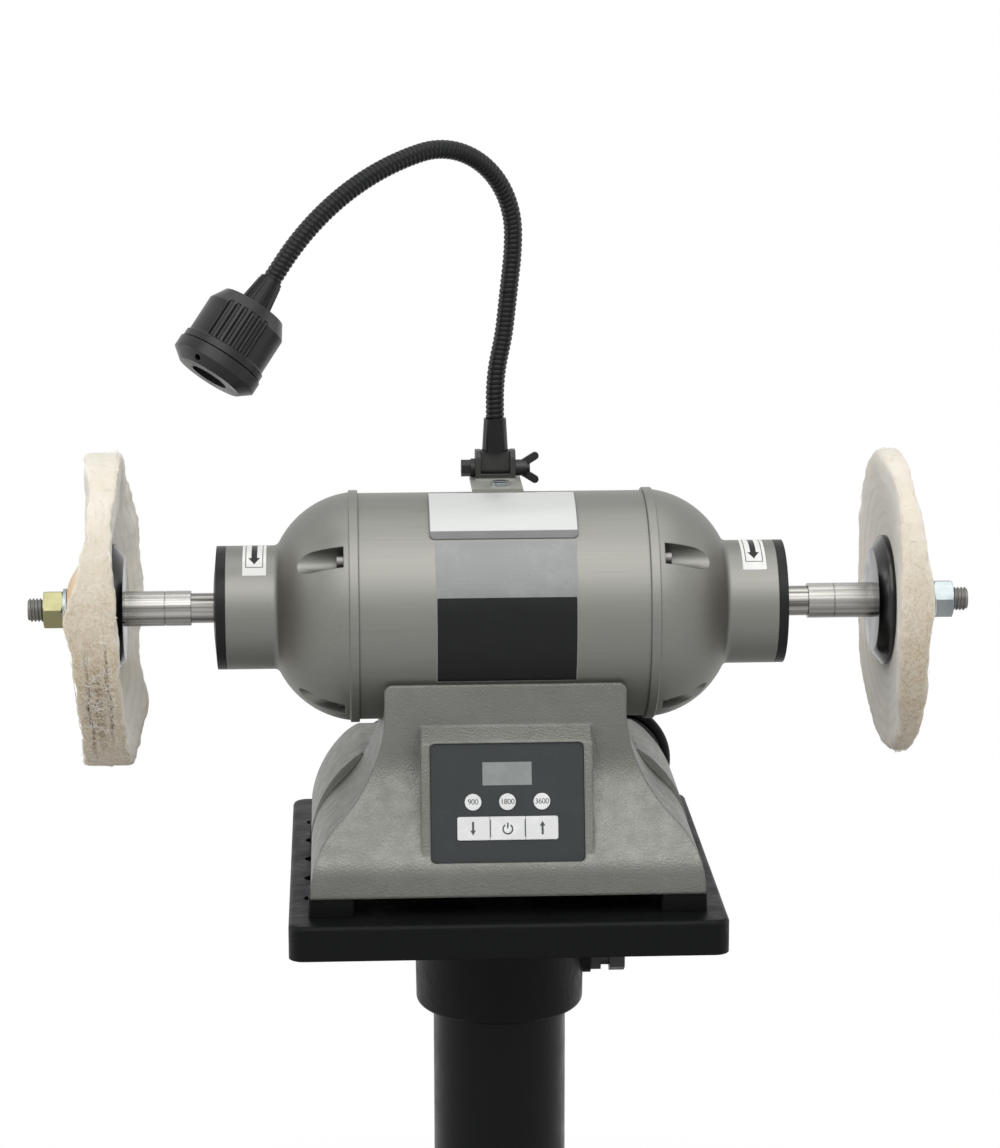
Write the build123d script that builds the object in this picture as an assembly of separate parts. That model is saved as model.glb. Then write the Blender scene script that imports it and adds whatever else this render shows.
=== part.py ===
"""Pedestal buffing machine with two cotton wheels and a gooseneck work lamp.

Millimetres, +Z up, +X to the operator's right, the operator stands at -Y.
The origin is on the floor, on the column's axis.
"""
from build123d import *
from math import atan, atan2, cos, degrees, hypot, pi, radians, sin, tan
import os

# Fits between pieces
RUN_CLEAR = 0.05
SLIDE_CLEAR = 0.3
FIT_CLEAR = 0.2

# Floor base
FLOOR_SIZE = 420.0
FLOOR_T = 12.0
FLOOR_CORNER = 24.0
HUB_WALL = 10.5
HUB_RISE = 60.0
GUSSET_T = 8.0
GUSSET_REACH = 75.0
FLOOR_HOLE_R = 6.5
FLOOR_HOLE_INSET = 30.0

# Column
COLUMN_R = 45.7
COLUMN_WALL = 4.0

# Stand head
HEAD_TOP = 820.0
HEAD_W = 286.0
HEAD_D = 302.0
HEAD_T = 10.0
SKIRT_H = 23.0
SKIRT_T = 8.0
HEAD_CORNER = 10.0
HEAD_EDGE = 3.0
SLOT_W = 11.0
SLOT_OUT = 133.0
SLOT_LEN = 48.0
SLOT_STEP = 44.0
SLOT_ROWS = 5
COLLAR_TOP_R = 59.0
COLLAR_END_R = 57.5
COLLAR_H = 93.0
COLLAR_EDGE = 4.0
RIB_T = 8.0

# Set bolt on the collar
SET_BOLT_DROP = 63.5
SET_BOLT_R = 6.0
SET_BOSS_R = 11.0
SET_BOSS_OUT = 63.0
JAM_NUT_T = 7.0
JAM_NUT_AF = 18.0
SET_GAP = 6.0
SET_HEAD_T = 10.6
SET_HEAD_AF = 18.0

# Feet and mounting bolts
FOOT_H = 13.0
FOOT_W = 30.0
FOOT_EDGE = 2.0
FOOT_X = 115.0
FOOT_FRONT_Y = -87.0
FOOT_REAR_Y = 80.0
FOOT_STUD_R = 3.0
FOOT_STUD_L = 14.0
BOLT_R = 5.0
BOLT_X = 105.0
BOLT_HEAD_T = 6.0
BOLT_HEAD_AF = 15.0
BOLT_FLANGE_R = 10.5
BOLT_FLANGE_T = 2.0
BOLT_BITE = 22.0

# Machine place: the spindle's axis over the base's lower edge, and its offset from the column
AXIS_RISE = 171.0
AXIS_Y = -28.0

# Base casting, measured from the spindle
BASE_WALL = 6.0
LIP_HALF = 128.5
LIP_FRONT_Y = -104.5
LIP_REAR_Y = 97.0
LIP_FRONT_H = 19.0
LIP_ROUND_R = 18.0
SIDE_LIP_H = 4.0
TOWER_HALF = 79.0
TOWER_Y = 69.0
TOWER_TOP_Z = -38.0
TOWER_CORNER = 5.0
FLARE_TOP_Z = -55.0
FLARE_SHARE = 0.63
FRONT_BEND_Z = -95.0
FRONT_BEND_R = 36.0
STEP_Y = 8.0
SHOULDER_Z = -104.0
SHOULDER_HALF = 94.0
SHOULDER_BOW_X = 117.5
SHOULDER_BOW_Z = -128.0
SHOULDER_END_H = 13.0
SHOULDER_ROUND = 10.0
CAVITY_Z = -88.0
BOSS_R = 9.0
STUD_BOSS_R = 7.0
COVER_T = 2.0

# Console and panel
CONSOLE_HALF = 56.0
CONSOLE_LEDGE_Y = -69.0
CONSOLE_LEDGE_Z = -65.4
CONSOLE_TOP_Y = -81.0
CONSOLE_TOP_Z = -74.0
CONSOLE_END_Y = -101.0
CONSOLE_END_Z = -149.0
PANEL_W = 100.0
PANEL_T = 2.5
PANEL_SINK = 1.5
PANEL_CORNER = 3.5
PANEL_SEAT = 5.0
CHANNEL_OUT = 8.0
CONSOLE_DEPTH = 28.0
DISPLAY_W = 32.0
DISPLAY_H = 15.0
DISPLAY_V = 18.9
ROUND_KEY_R = 5.4
ROUND_KEY_V = 0.6
ROUND_KEY_STEP = 22.4
BAR_KEY_W = 21.0
POWER_KEY_W = 23.0
BAR_KEY_H = 15.2
BAR_KEY_V = -16.5
BAR_CORNER = 1.5
KEY_PROUD = 0.8
KEY_TRAVEL = 0.5
KEY_FLANGE = 1.2
KEY_FLANGE_T = 1.2
BOARD_W = 86.0
BOARD_H = 62.0
BOARD_T = 1.6
BOARD_GAP = 4.4
SWITCH_R = 2.5
POST_R = 2.5
POST_INSET = 4.0

# Drive unit
DRIVE_W = 110.0
DRIVE_D = 80.0
DRIVE_H = 30.0
DRIVE_Y = 25.0
FIN_COUNT = 9
FIN_T = 2.5
FIN_H = 14.0

# Motor
SHELL_R = 75.4
SHELL_T = 13.4
SHELL_HALF = 94.8
PAD_HALF = 16.0
PAD_Y0 = 6.0
PAD_Y1 = 36.0
PAD_RISE = 0.1
MOTOR_BOLT_R = 4.0
MOTOR_BOLT_X = 55.0
MOTOR_BOLT_Y = 25.0
MOTOR_BOLT_BITE = 6.9
MOTOR_BOLT_HEAD_T = 6.0
MOTOR_BOLT_AF = 13.0
STATOR_BORE_R = 45.5
STATOR_HALF = 45.0
WINDING_IN_R = 48.0
WINDING_GAP = 3.0
WINDING_L = 25.0

# End bells
RIM_RISE = 2.0
RIM_L = 6.2
DOME_RISE = 0.6
DOME_BOW_L = 39.6
DOME_BOW_DROP = 15.0
DOME_L = 53.6
NECK_R = 41.2
NECK_L = 34.2
SPIGOT_L = 6.0
BELL_WALL = 5.0
POCKET_R = 7.5
POCKET_INSET = 7.9
POCKET_WALL = 9.7
POCKET_TILT = 38.0
POCKET_COUNT = 4
BELL_SCREW_R = 2.5
BELL_SCREW_HEAD_R = 4.5
BELL_SCREW_HEAD_T = 4.5
BELL_SCREW_BITE = 14.0
CAP_T = 6.0
CAP_CROWN = 1.9
CAP_BORE_R = 10.6

# Badge
BADGE_HALF = 48.5
BADGE_TOP_DEG = 6.0
BADGE_FACE_DEG = 39.0
BADGE_END_DEG = 43.0
BADGE_T = 2.6
BADGE_CORNER = 3.5
BADGE_LIP = 0.5
BADGE_TRIM = 0.1

# Bearings
BEARING_BORE_R = 12.5
BEARING_R = 26.0
BEARING_W = 15.0
INNER_RACE_R = 16.8
OUTER_RACE_R = 21.7
BALL_R = 3.9
BALL_CLEAR = 0.15
BALL_COUNT = 8
BEARING_INSET = 10.1
SEAT_LIP = 4.0

# Spindle
ROTOR_R = 45.0
ROTOR_HALF = 45.0
CORE_SHAFT_R = 14.0
SHAFT_R = 10.0
SHAFT_SHOULDER_X = 206.0
THREAD_R = 7.9375
SPINDLE_END_X = 314.0
SPACER_R = 11.75
SPACER_L = 47.0
SPACER_JOINT = 17.0
SPACER_GROOVE = 0.6
ARBOR_CLEAR = 0.0625
FLANGE_RIM_R = 43.5
FLANGE_HUB_R = 27.0
FLANGE_L = 12.0
FLANGE_SEAT = 5.5
FLANGE_DISH_R = 35.0
FLANGE_DISH = 1.5
WHEEL_R = 101.6
WHEEL_T = 28.5
WHEEL_EDGE = 5.0
LEFT_RIM_T = 30.0
LEFT_LEAN = 12.0
RIGHT_RIM_T = 19.0
RIGHT_LEAN = 5.0
RIM_START_R = 52.0
RIM_FULL_R = 88.0
SWELL_R = 17.0
SWELL_END_R = 40.0
NUT_WASHER_R = 14.0
NUT_WASHER_T = 2.5
NUT_T = 13.0
NUT_AF = 23.8
NUT_TURN = 20.0
NUT_CHAMFER = 1.6

# Lamp bracket, clevis and pivot
LAMP_X = -1.5
BRACKET_HALF = 17.0
BRACKET_Y0 = 3.0
BRACKET_Y1 = 54.0
BRACKET_T = 2.5
BRACKET_STEP_T = 1.2
BRACKET_SCREW_X = 1.0
BRACKET_SCREW_Y = 17.0
BRACKET_SCREW_R = 3.0
BRACKET_SCREW_HEAD_R = 6.5
BRACKET_SCREW_HEAD_T = 2.2
BRACKET_SCREW_BITE = 9.0
SCREW_SLOT_W = 1.4
PIVOT_Y = 42.0
PIVOT_RISE = 7.0
PIVOT_R = 3.0
CLEVIS_GAP = 20.0
EAR_T = 3.5
EAR_DEPTH = 17.0
CLEVIS_FLOOR_T = 1.2
CLEVIS_H = 19.5
PIVOT_WASHER_R = 6.5
PIVOT_WASHER_T = 3.0
PIVOT_HEAD_AF = 10.0
PIVOT_HEAD_T = 6.5
PIVOT_TAIL = 10.0
WING_HUB_R = 5.5
WING_HUB_L = 8.0
WING_T = 2.6
WING_REACH = 10.6
WING_FLARE = 16.0
WING_ROOT = 5.0
WING_W = 5.2
BLOCK_H = 12.0
BLOCK_DEPTH = 8.4

# Lamp boots and gooseneck
LOWER_BOOT_R0 = 8.8
LOWER_BOOT_R1 = 7.5
LOWER_BOOT_L = 22.0
NECK_AZIMUTH = 210.0
HOSE_R = 6.25
HOSE_ROOT_R = 5.5
HOSE_BORE_R = 3.5
RIB_PITCH = 3.3
HOSE_START = 13.0
SWAY_DEG = 15.2
SWAY_R0 = 121.0
SWAY_R1 = 162.5
STEM_L = 36.3
ARCH_DEG = 76.7
ARCH_R = 59.1
CROWN_DEG = 25.9
CROWN_R = 57.6
DROP_DEG = 38.9
DROP_R = 186.0
HOSE_END = 13.0
UPPER_BOOT_R0 = 7.45
UPPER_BOOT_R1 = 9.85
UPPER_BOOT_L = 21.0
BOOT_RIBS = 10
BOOT_RIB_R = 0.9

# Lamp head
HEAD_R = 27.0
HEAD_BACK_R = 21.5
HEAD_CHAMFER_L = 9.5
HEAD_BODY_L = 33.8
HEAD_GROOVE_R = 25.5
HEAD_GROOVE_W = 0.9
HEAD_FLANGE_R = 28.3
HEAD_FLANGE_RISE = 1.2
HEAD_L = 40.4
HEAD_BACK_T = 4.0
HEAD_SIDE_T = 2.0
HEAD_CAVITY_R = 22.0
LED_SEAT = 30.0
LED_SEAT_R = 23.8
LED_T = 1.6
LED_LENS_R = 5.0
FIN_SECTORS = 3
FIN_SECTOR_DEG = 120.0
FIN_GROOVES = 6
FIN_PITCH_DEG = 11.5
FIN_GROOVE_R = 1.7
FIN_GROOVE_D = 2.0
FIN_GROOVE_START = 7.5
BEZEL_R = 29.3
BEZEL_CORNER = 7.4
BEZEL_FRONT_R = 22.3
BEZEL_FRONT_L = 5.7
BEZEL_HOLE_R = 12.5
BEZEL_CAVITY_R = 20.0
BEZEL_PORT_R = 2.2
BEZEL_PORT_D = 4.0
BEZEL_PORT_DEG = 147.0
LENS_R = 14.5
LENS_T = 2.5
LENS_SINK = 3.2
SWITCH_KEY_R = 3.8
SWITCH_KEY_AT = 14.6
SWITCH_KEY_DEG = 220.0
SWITCH_KEY_PROUD = 2.5
SWITCH_KEY_TRAVEL = 1.0
SWITCH_KEY_FLANGE = 0.7
SWITCH_KEY_FLANGE_T = 1.2

# Mains cord
CORD_R = 4.75
RELIEF_X = -113.0
RELIEF_Z = -160.0
CORD_ARC_SHARE = 0.45
RELIEF_L = 22.0
RELIEF_RING_T = 3.0
RELIEF_BASE_R = 8.5
RELIEF_TIP_R = 6.0
RELIEF_NECK_R = 6.5
FOLD_RIGHT_X = 85.0
RUN_L = 150.0
FOLD_R = 37.0
FOLD_STEP = 12.5
LAYER_GAP = 0.7
WAIST_SHARE = 0.9
HANK_CLEAR = 7.25
HANK_LEAD = 40.0
TIE_W = 8.0
TIE_T = 1.6
TIE_CLEAR = 0.4
TIE_SHIFT = -4.0
PLUG_R = 12.0
PLUG_L = 34.0
PLUG_TAIL_L = 22.0
PLUG_TAIL_R = 6.2
PLUG_EDGE = 2.0
PLUG_STANDOFF = 1.0
PLUG_REACH = 76.0
BLADE_W = 6.3
BLADE_T = 1.6
BLADE_L = 17.0
BLADE_STEP = 12.7
PIN_R = 2.4
PIN_DROP = 8.0

# Places that follow from the sizes above
LIP_Z = HEAD_TOP + FOOT_H
AXIS_Z = LIP_Z + AXIS_RISE
MACHINE = Pos(0, AXIS_Y, AXIS_Z)
BASE_Z = -AXIS_RISE
COLUMN_TOP = HEAD_TOP - HEAD_T
NECK_X = SHELL_HALF + DOME_L
BELL_END_X = NECK_X + NECK_L
CAP_END_X = BELL_END_X + CAP_T
BEARING_X1 = BELL_END_X - BEARING_INSET
BEARING_X0 = BEARING_X1 - BEARING_W
SPACER_END_X = SHAFT_SHOULDER_X + SPACER_L
INNER_FLANGE_X = SPACER_END_X - FLANGE_SEAT
WHEEL_X0 = INNER_FLANGE_X + FLANGE_L
WHEEL_X1 = WHEEL_X0 + WHEEL_T
NUT_X = WHEEL_X1 + NUT_WASHER_T
SHELL_BORE_R = SHELL_R - SHELL_T
WINDING_OUT_R = SHELL_BORE_R - WINDING_GAP
MOTOR_BOLT_TIP_Z = MOTOR_BOLT_BITE - SHELL_R
RIM_R = SHELL_R + RIM_RISE
DOME_R0 = SHELL_R + DOME_RISE
DOME_BOW_R = SHELL_R - DOME_BOW_DROP
POCKET_AT = SHELL_R - POCKET_INSET
BRACKET_Z = SHELL_R + PAD_RISE
PIVOT_Z = BRACKET_Z + BRACKET_T + PIVOT_RISE
ARBOR_R = THREAD_R + ARBOR_CLEAR

os.makedirs("parts", exist_ok=True)


# Simple shapes
def rod_x(r, x0, x1, y=0.0, z=0.0):
    return Pos((x0 + x1) / 2, y, z) * Rot(0, 90, 0) * Cylinder(r, abs(x1 - x0))


def rod_z(r, z0, z1, x=0.0, y=0.0):
    return Pos(x, y, (z0 + z1) / 2) * Cylinder(r, abs(z1 - z0))


def block(x0, x1, y0, y1, z0, z1):
    return Pos((x0 + x1) / 2, (y0 + y1) / 2, (z0 + z1) / 2) * Box(x1 - x0, y1 - y0, z1 - z0)


def hex_bar(across_flats, length, turn=0.0):
    """Hexagonal bar from the origin up +Z."""
    return extrude(Rot(0, 0, turn) * RegularPolygon(across_flats / 2, 6, major_radius=False), length)


def turned(points):
    """Solid of revolution about X from (along, radius) points."""
    return revolve(make_face(Polyline(*points, close=True)), Axis.X)


def along_x(face, x0, x1):
    """Extrudes a (y, z) face from x0 to x1."""
    return Pos(x0, 0, 0) * extrude(Plane.YZ * face, x1 - x0)


def along_y(face, y0, y1):
    """Extrudes an (x, z) face from y0 to y1."""
    return Pos(0, y1, 0) * extrude(Plane.XZ * face, y1 - y0)


def ogee(start, end, share):
    """Two tangent arcs from start to end, upright at both ends."""
    dx = end[0] - start[0]
    dz = end[1] - start[1]
    half = atan(abs(dx / dz))
    bend = (start[0] + dx * share, start[1] + dz * share)
    r0 = hypot(dx, dz) * share / (2 * sin(half))
    r1 = hypot(dx, dz) * (1 - share) / (2 * sin(half))
    side = 1 if dx > 0 else -1
    fall = 1 if dz > 0 else -1
    mid0 = (start[0] + side * r0 * (1 - cos(half)), start[1] + fall * r0 * sin(half))
    mid1 = (end[0] - side * r1 * (1 - cos(half)), end[1] - fall * r1 * sin(half))
    return [ThreePointArc(start, mid0, bend), ThreePointArc(bend, mid1, end)]


def save(node, *solids):
    shape = solids[0] if len(solids) == 1 else Compound(children=list(solids))
    export_step(shape, "parts/" + node + ".step")


# Floor base: plate, hub socket, gussets and four bolt holes
def floor_base():
    hub_r = COLUMN_R + HUB_WALL
    plate = extrude(RectangleRounded(FLOOR_SIZE, FLOOR_SIZE, FLOOR_CORNER), FLOOR_T)
    hub = rod_z(hub_r, FLOOR_T, FLOOR_T + HUB_RISE)
    web = Polyline((COLUMN_R + HUB_WALL / 2, FLOOR_T), (hub_r + GUSSET_REACH, FLOOR_T),
                   (COLUMN_R + HUB_WALL / 2, FLOOR_T + HUB_RISE), close=True)
    gusset = Pos(0, GUSSET_T / 2, 0) * extrude(Plane.XZ * make_face(web), GUSSET_T)
    gussets = [Rot(0, 0, turn) * gusset for turn in (0, 90, 180, 270)]
    at = FLOOR_SIZE / 2 - FLOOR_HOLE_INSET
    holes = [rod_z(FLOOR_HOLE_R, 0, FLOOR_T, x, y) for x in (-at, at) for y in (-at, at)]
    socket = rod_z(COLUMN_R, FLOOR_T, FLOOR_T + HUB_RISE)
    return (plate + hub + gussets) - holes - socket


# Column: a plain tube between the floor plate and the head
def column():
    return (rod_z(COLUMN_R, FLOOR_T, COLUMN_TOP)
            - rod_z(COLUMN_R - COLUMN_WALL, FLOOR_T, COLUMN_TOP))


# Stand head: slotted plate, skirt, ribs and a tapered collar
def head_slots():
    length = SLOT_LEN - SLOT_W
    slot = Pos(SLOT_OUT - SLOT_LEN / 2, 0, COLUMN_TOP) * extrude(SlotCenterToCenter(length, SLOT_W), HEAD_T)
    rows = [(row - (SLOT_ROWS - 1) / 2) * SLOT_STEP for row in range(SLOT_ROWS)]
    right = [Pos(0, y, 0) * slot for y in rows]
    left = [mirror(one, Plane.YZ) for one in right]
    return right + left


def stand_head():
    low = HEAD_TOP - SKIRT_H
    outer = Pos(0, 0, low) * extrude(RectangleRounded(HEAD_W, HEAD_D, HEAD_CORNER), SKIRT_H)
    outer = fillet(outer.faces().sort_by(Axis.Z)[-1].edges(), HEAD_EDGE)
    inner_w = HEAD_W - 2 * SKIRT_T
    inner_d = HEAD_D - 2 * SKIRT_T
    hollow = block(-inner_w / 2, inner_w / 2, -inner_d / 2, inner_d / 2, low, COLUMN_TOP)
    collar_end = COLUMN_TOP - COLLAR_H
    collar = Pos(0, 0, collar_end + COLLAR_H / 2) * Cone(COLLAR_END_R, COLLAR_TOP_R, COLLAR_H)
    collar = fillet(collar.faces().sort_by(Axis.Z)[0].edges(), COLLAR_EDGE)
    ribs = block(-RIB_T / 2, RIB_T / 2, -inner_d / 2, inner_d / 2, low, COLUMN_TOP)
    for y in (-SLOT_STEP / 2, SLOT_STEP / 2):
        ribs += block(-inner_w / 2, inner_w / 2, y - RIB_T / 2, y + RIB_T / 2, low, COLUMN_TOP)
    axis_z = COLUMN_TOP - SET_BOLT_DROP
    boss = rod_x(SET_BOSS_R, COLUMN_R, SET_BOSS_OUT, 0, axis_z)
    body = (outer - hollow) + ribs + collar + boss
    body -= rod_z(COLUMN_R, collar_end, COLUMN_TOP)
    body -= rod_x(SET_BOLT_R, 0, SET_BOSS_OUT, 0, axis_z)
    return body - head_slots()


# Set bolt with its jam nut
def head_set_bolt():
    axis_z = COLUMN_TOP - SET_BOLT_DROP
    nut_end = SET_BOSS_OUT + JAM_NUT_T
    head_x = nut_end + SET_GAP
    shank = rod_x(SET_BOLT_R, COLUMN_R, head_x, 0, axis_z)
    head = Pos(head_x, 0, axis_z) * Rot(0, 90, 0) * hex_bar(SET_HEAD_AF, SET_HEAD_T)
    nut = Pos(SET_BOSS_OUT, 0, axis_z) * Rot(0, 90, 0) * hex_bar(JAM_NUT_AF, JAM_NUT_T, 12)
    nut -= rod_x(SET_BOLT_R, SET_BOSS_OUT, nut_end, 0, axis_z)
    return [shank + head, nut]


# Places of the mounting bolts, in line with the slots, and of the feet
BOLT_ROWS = (-2 * SLOT_STEP - AXIS_Y, -AXIS_Y)
BOLT_SPOTS = [(x, y) for x in (-BOLT_X, BOLT_X) for y in BOLT_ROWS]
FOOT_SPOTS = [(x, y) for x in (-FOOT_X, FOOT_X) for y in (FOOT_FRONT_Y, FOOT_REAR_Y)]


def mounting_bolts():
    under = BASE_Z - FOOT_H - HEAD_T
    tip = BASE_Z + BOLT_BITE
    flange = rod_z(BOLT_FLANGE_R, under - BOLT_FLANGE_T, under)
    head = Pos(0, 0, under - BOLT_FLANGE_T - BOLT_HEAD_T) * hex_bar(BOLT_HEAD_AF, BOLT_HEAD_T)
    bolt = flange + head + rod_z(BOLT_R, under, tip)
    return [Pos(x, y, 0) * bolt for x, y in BOLT_SPOTS]


def rubber_feet():
    pad = Pos(0, 0, BASE_Z - FOOT_H / 2) * Box(FOOT_W, FOOT_W, FOOT_H)
    pad = fillet(pad.edges().filter_by(Axis.Z), FOOT_EDGE)
    foot = pad + rod_z(FOOT_STUD_R, BASE_Z, BASE_Z + FOOT_STUD_L)
    return [Pos(x, y, 0) * foot for x, y in FOOT_SPOTS]


# Base casting: flared front, shouldered rear, tower, saddle and console
def front_outline(inset):
    half = LIP_HALF - inset
    top_half = TOWER_HALF - inset
    lip = BASE_Z + SIDE_LIP_H
    right = ogee((top_half, FLARE_TOP_Z), (half, lip), FLARE_SHARE)
    left = ogee((-top_half, FLARE_TOP_Z), (-half, lip), FLARE_SHARE)
    top = FilletPolyline((-top_half, FLARE_TOP_Z), (-top_half, TOWER_TOP_Z), (top_half, TOWER_TOP_Z),
                         (top_half, FLARE_TOP_Z), radius=TOWER_CORNER)
    foot = Polyline((-half, lip), (-half, BASE_Z), (half, BASE_Z), (half, lip))
    return make_face(right + left + [top, foot])


def front_side(inset):
    front = LIP_FRONT_Y + inset
    wall = -TOWER_Y + inset
    slope = FilletPolyline((wall, TOWER_TOP_Z), (wall, FRONT_BEND_Z), (front, BASE_Z + LIP_FRONT_H),
                           (front, BASE_Z), radius=[FRONT_BEND_R, LIP_ROUND_R])
    rest = Polyline((front, BASE_Z), (STEP_Y, BASE_Z), (STEP_Y, TOWER_TOP_Z), (wall, TOWER_TOP_Z))
    return make_face([slope, rest])


def rear_outline(inset):
    half = LIP_HALF - inset
    flat = SHOULDER_HALF - inset / 2
    top = SHOULDER_Z - inset
    bow = (SHOULDER_BOW_X - inset * 0.7, SHOULDER_BOW_Z - inset * 0.7)
    end = BASE_Z + SHOULDER_END_H
    right = ThreePointArc((flat, top), bow, (half, end))
    left = ThreePointArc((-half, end), (-bow[0], bow[1]), (-flat, top))
    cap = Line((-flat, top), (flat, top))
    foot = Polyline((half, end), (half, BASE_Z), (-half, BASE_Z), (-half, end))
    return make_face([right, left, cap, foot])


def rear_block(inset):
    body = along_y(rear_outline(inset), STEP_Y, LIP_REAR_Y - inset)
    edge = body.edges().filter_by(Axis.X).group_by(Axis.Z)[-1].sort_by(Axis.Y)[-1]
    return fillet(edge, SHOULDER_ROUND)


def base_form(inset):
    half = LIP_HALF - inset
    front = along_y(front_outline(inset), LIP_FRONT_Y, STEP_Y) & along_x(front_side(inset), -half, half)
    tower_half = TOWER_HALF - inset
    tower = block(-tower_half, tower_half, STEP_Y, TOWER_Y - inset, SHOULDER_Z - inset, TOWER_TOP_Z)
    tower = fillet(tower.edges().filter_by(Axis.Y).group_by(Axis.Z)[-1], TOWER_CORNER)
    return front + rear_block(inset) + tower


# The console's face: u across, v up the slope, w out of the panel
SLOPE_Y = CONSOLE_TOP_Y - CONSOLE_END_Y
SLOPE_Z = CONSOLE_TOP_Z - CONSOLE_END_Z
SLOPE_L = hypot(SLOPE_Y, SLOPE_Z)
FACE = Plane(origin=(0, (CONSOLE_TOP_Y + CONSOLE_END_Y) / 2, (CONSOLE_TOP_Z + CONSOLE_END_Z) / 2),
             x_dir=(1, 0, 0), z_dir=(0, -SLOPE_Z / SLOPE_L, SLOPE_Y / SLOPE_L))
PANEL_BACK = -PANEL_SINK - PANEL_T


def on_face(shape, u=0.0, v=0.0, w=0.0):
    return FACE.location * Pos(u, v, w) * shape


def console_form():
    inner_y = -TOWER_Y + BASE_WALL
    outline = Polyline((CONSOLE_LEDGE_Y, CONSOLE_LEDGE_Z), (CONSOLE_TOP_Y, CONSOLE_TOP_Z),
                       (CONSOLE_END_Y, CONSOLE_END_Z), (inner_y, CONSOLE_END_Z), (inner_y, CONSOLE_LEDGE_Z),
                       close=True)
    return along_x(make_face(outline), -CONSOLE_HALF, CONSOLE_HALF)


def panel_channel():
    wide = PANEL_W + 2 * FIT_CLEAR
    mouth = RectangleRounded(wide, SLOPE_L, PANEL_CORNER)
    return on_face(extrude(mouth, CHANNEL_OUT - PANEL_BACK), 0, 0, PANEL_BACK)


def panel_backing():
    wide = PANEL_W + 2 * PANEL_SEAT
    tall = SLOPE_L + 2 * BASE_WALL
    back = PANEL_BACK - BASE_WALL
    return on_face(extrude(Rectangle(wide, tall), CHANNEL_OUT - back), 0, 0, back)


def console_hollow():
    wide = PANEL_W - 2 * PANEL_SEAT
    tall = SLOPE_L - 2 * PANEL_SEAT
    return on_face(extrude(Rectangle(wide, tall), CONSOLE_DEPTH), 0, 0, PANEL_BACK - CONSOLE_DEPTH)


def base_casting():
    outer = base_form(0) + console_form()
    low = block(-LIP_HALF, LIP_HALF, LIP_FRONT_Y, LIP_REAR_Y, BASE_Z, CAVITY_Z)
    cavity = (base_form(BASE_WALL) & low) - panel_backing()
    ceiling = CAVITY_Z + BASE_WALL
    posts = [rod_z(BOSS_R, BASE_Z + COVER_T, ceiling, x, y) for x, y in BOLT_SPOTS]
    posts += [rod_z(STUD_BOSS_R, BASE_Z + COVER_T, ceiling, x, y) for x, y in FOOT_SPOTS]
    bosses = Compound(children=[post & outer for post in posts])
    body = outer - cavity - console_hollow()
    for post in bosses.solids():
        body += post
    body -= rod_x(SHELL_R, -LIP_HALF, LIP_HALF)
    body -= panel_channel()
    body -= [rod_z(BOLT_R, BASE_Z, BASE_Z + BOLT_BITE, x, y) for x, y in BOLT_SPOTS]
    body -= [rod_z(FOOT_STUD_R, BASE_Z, BASE_Z + FOOT_STUD_L, x, y) for x, y in FOOT_SPOTS]
    body -= [rod_z(MOTOR_BOLT_R, CAVITY_Z, MOTOR_BOLT_TIP_Z, x, y) for x, y in MOTOR_BOLT_SPOTS]
    neck = Pos(RELIEF_X, LIP_REAR_Y - BASE_WALL / 2, RELIEF_Z) * Rot(90, 0, 0) * Cylinder(RELIEF_NECK_R, BASE_WALL)
    return body - neck


MOTOR_BOLT_SPOTS = [(x, y) for x in (-MOTOR_BOLT_X, MOTOR_BOLT_X) for y in (-MOTOR_BOLT_Y, MOTOR_BOLT_Y)]


def base_bottom_cover():
    half = LIP_HALF - BASE_WALL - FIT_CLEAR
    front = LIP_FRONT_Y + BASE_WALL + FIT_CLEAR
    rear = LIP_REAR_Y - BASE_WALL - FIT_CLEAR
    sheet = block(-half, half, front, rear, BASE_Z, BASE_Z + COVER_T)
    sheet -= [rod_z(BOLT_R + FIT_CLEAR, BASE_Z, BASE_Z + COVER_T, x, y) for x, y in BOLT_SPOTS]
    return sheet - [rod_z(FOOT_STUD_R, BASE_Z, BASE_Z + COVER_T, x, y) for x, y in FOOT_SPOTS]


def motor_bolts():
    head = Pos(0, 0, CAVITY_Z - MOTOR_BOLT_HEAD_T) * hex_bar(MOTOR_BOLT_AF, MOTOR_BOLT_HEAD_T)
    bolt = head + rod_z(MOTOR_BOLT_R, CAVITY_Z, MOTOR_BOLT_TIP_Z)
    return [Pos(x, y, 0) * bolt for x, y in MOTOR_BOLT_SPOTS]


# Panel, display, keys and circuit board
BAR_SPAN = 2 * BAR_KEY_W + POWER_KEY_W + 2 * SLIDE_CLEAR
BAR_AT = (POWER_KEY_W + BAR_KEY_W) / 2 + SLIDE_CLEAR
ROUND_KEYS = [("key_900", -ROUND_KEY_STEP), ("key_1800", 0.0), ("key_3600", ROUND_KEY_STEP)]
BAR_KEYS = [("key_down", -BAR_AT, BAR_KEY_W), ("key_power", 0.0, POWER_KEY_W), ("key_up", BAR_AT, BAR_KEY_W)]


def control_panel():
    sheet = on_face(extrude(RectangleRounded(PANEL_W, SLOPE_L, PANEL_CORNER), PANEL_T), 0, 0, PANEL_BACK)
    window = on_face(extrude(Rectangle(DISPLAY_W, DISPLAY_H), PANEL_T), 0, DISPLAY_V, PANEL_BACK)
    round_hole = extrude(Circle(ROUND_KEY_R + SLIDE_CLEAR), PANEL_T)
    holes = [on_face(round_hole, u, ROUND_KEY_V, PANEL_BACK) for _, u in ROUND_KEYS]
    slot = extrude(RectangleRounded(BAR_SPAN + 2 * SLIDE_CLEAR, BAR_KEY_H + 2 * SLIDE_CLEAR,
                                    BAR_CORNER + SLIDE_CLEAR), PANEL_T)
    return sheet - window - holes - on_face(slot, 0, BAR_KEY_V, PANEL_BACK)


def display_window():
    return on_face(extrude(Rectangle(DISPLAY_W, DISPLAY_H), PANEL_T), 0, DISPLAY_V, PANEL_BACK)


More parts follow.
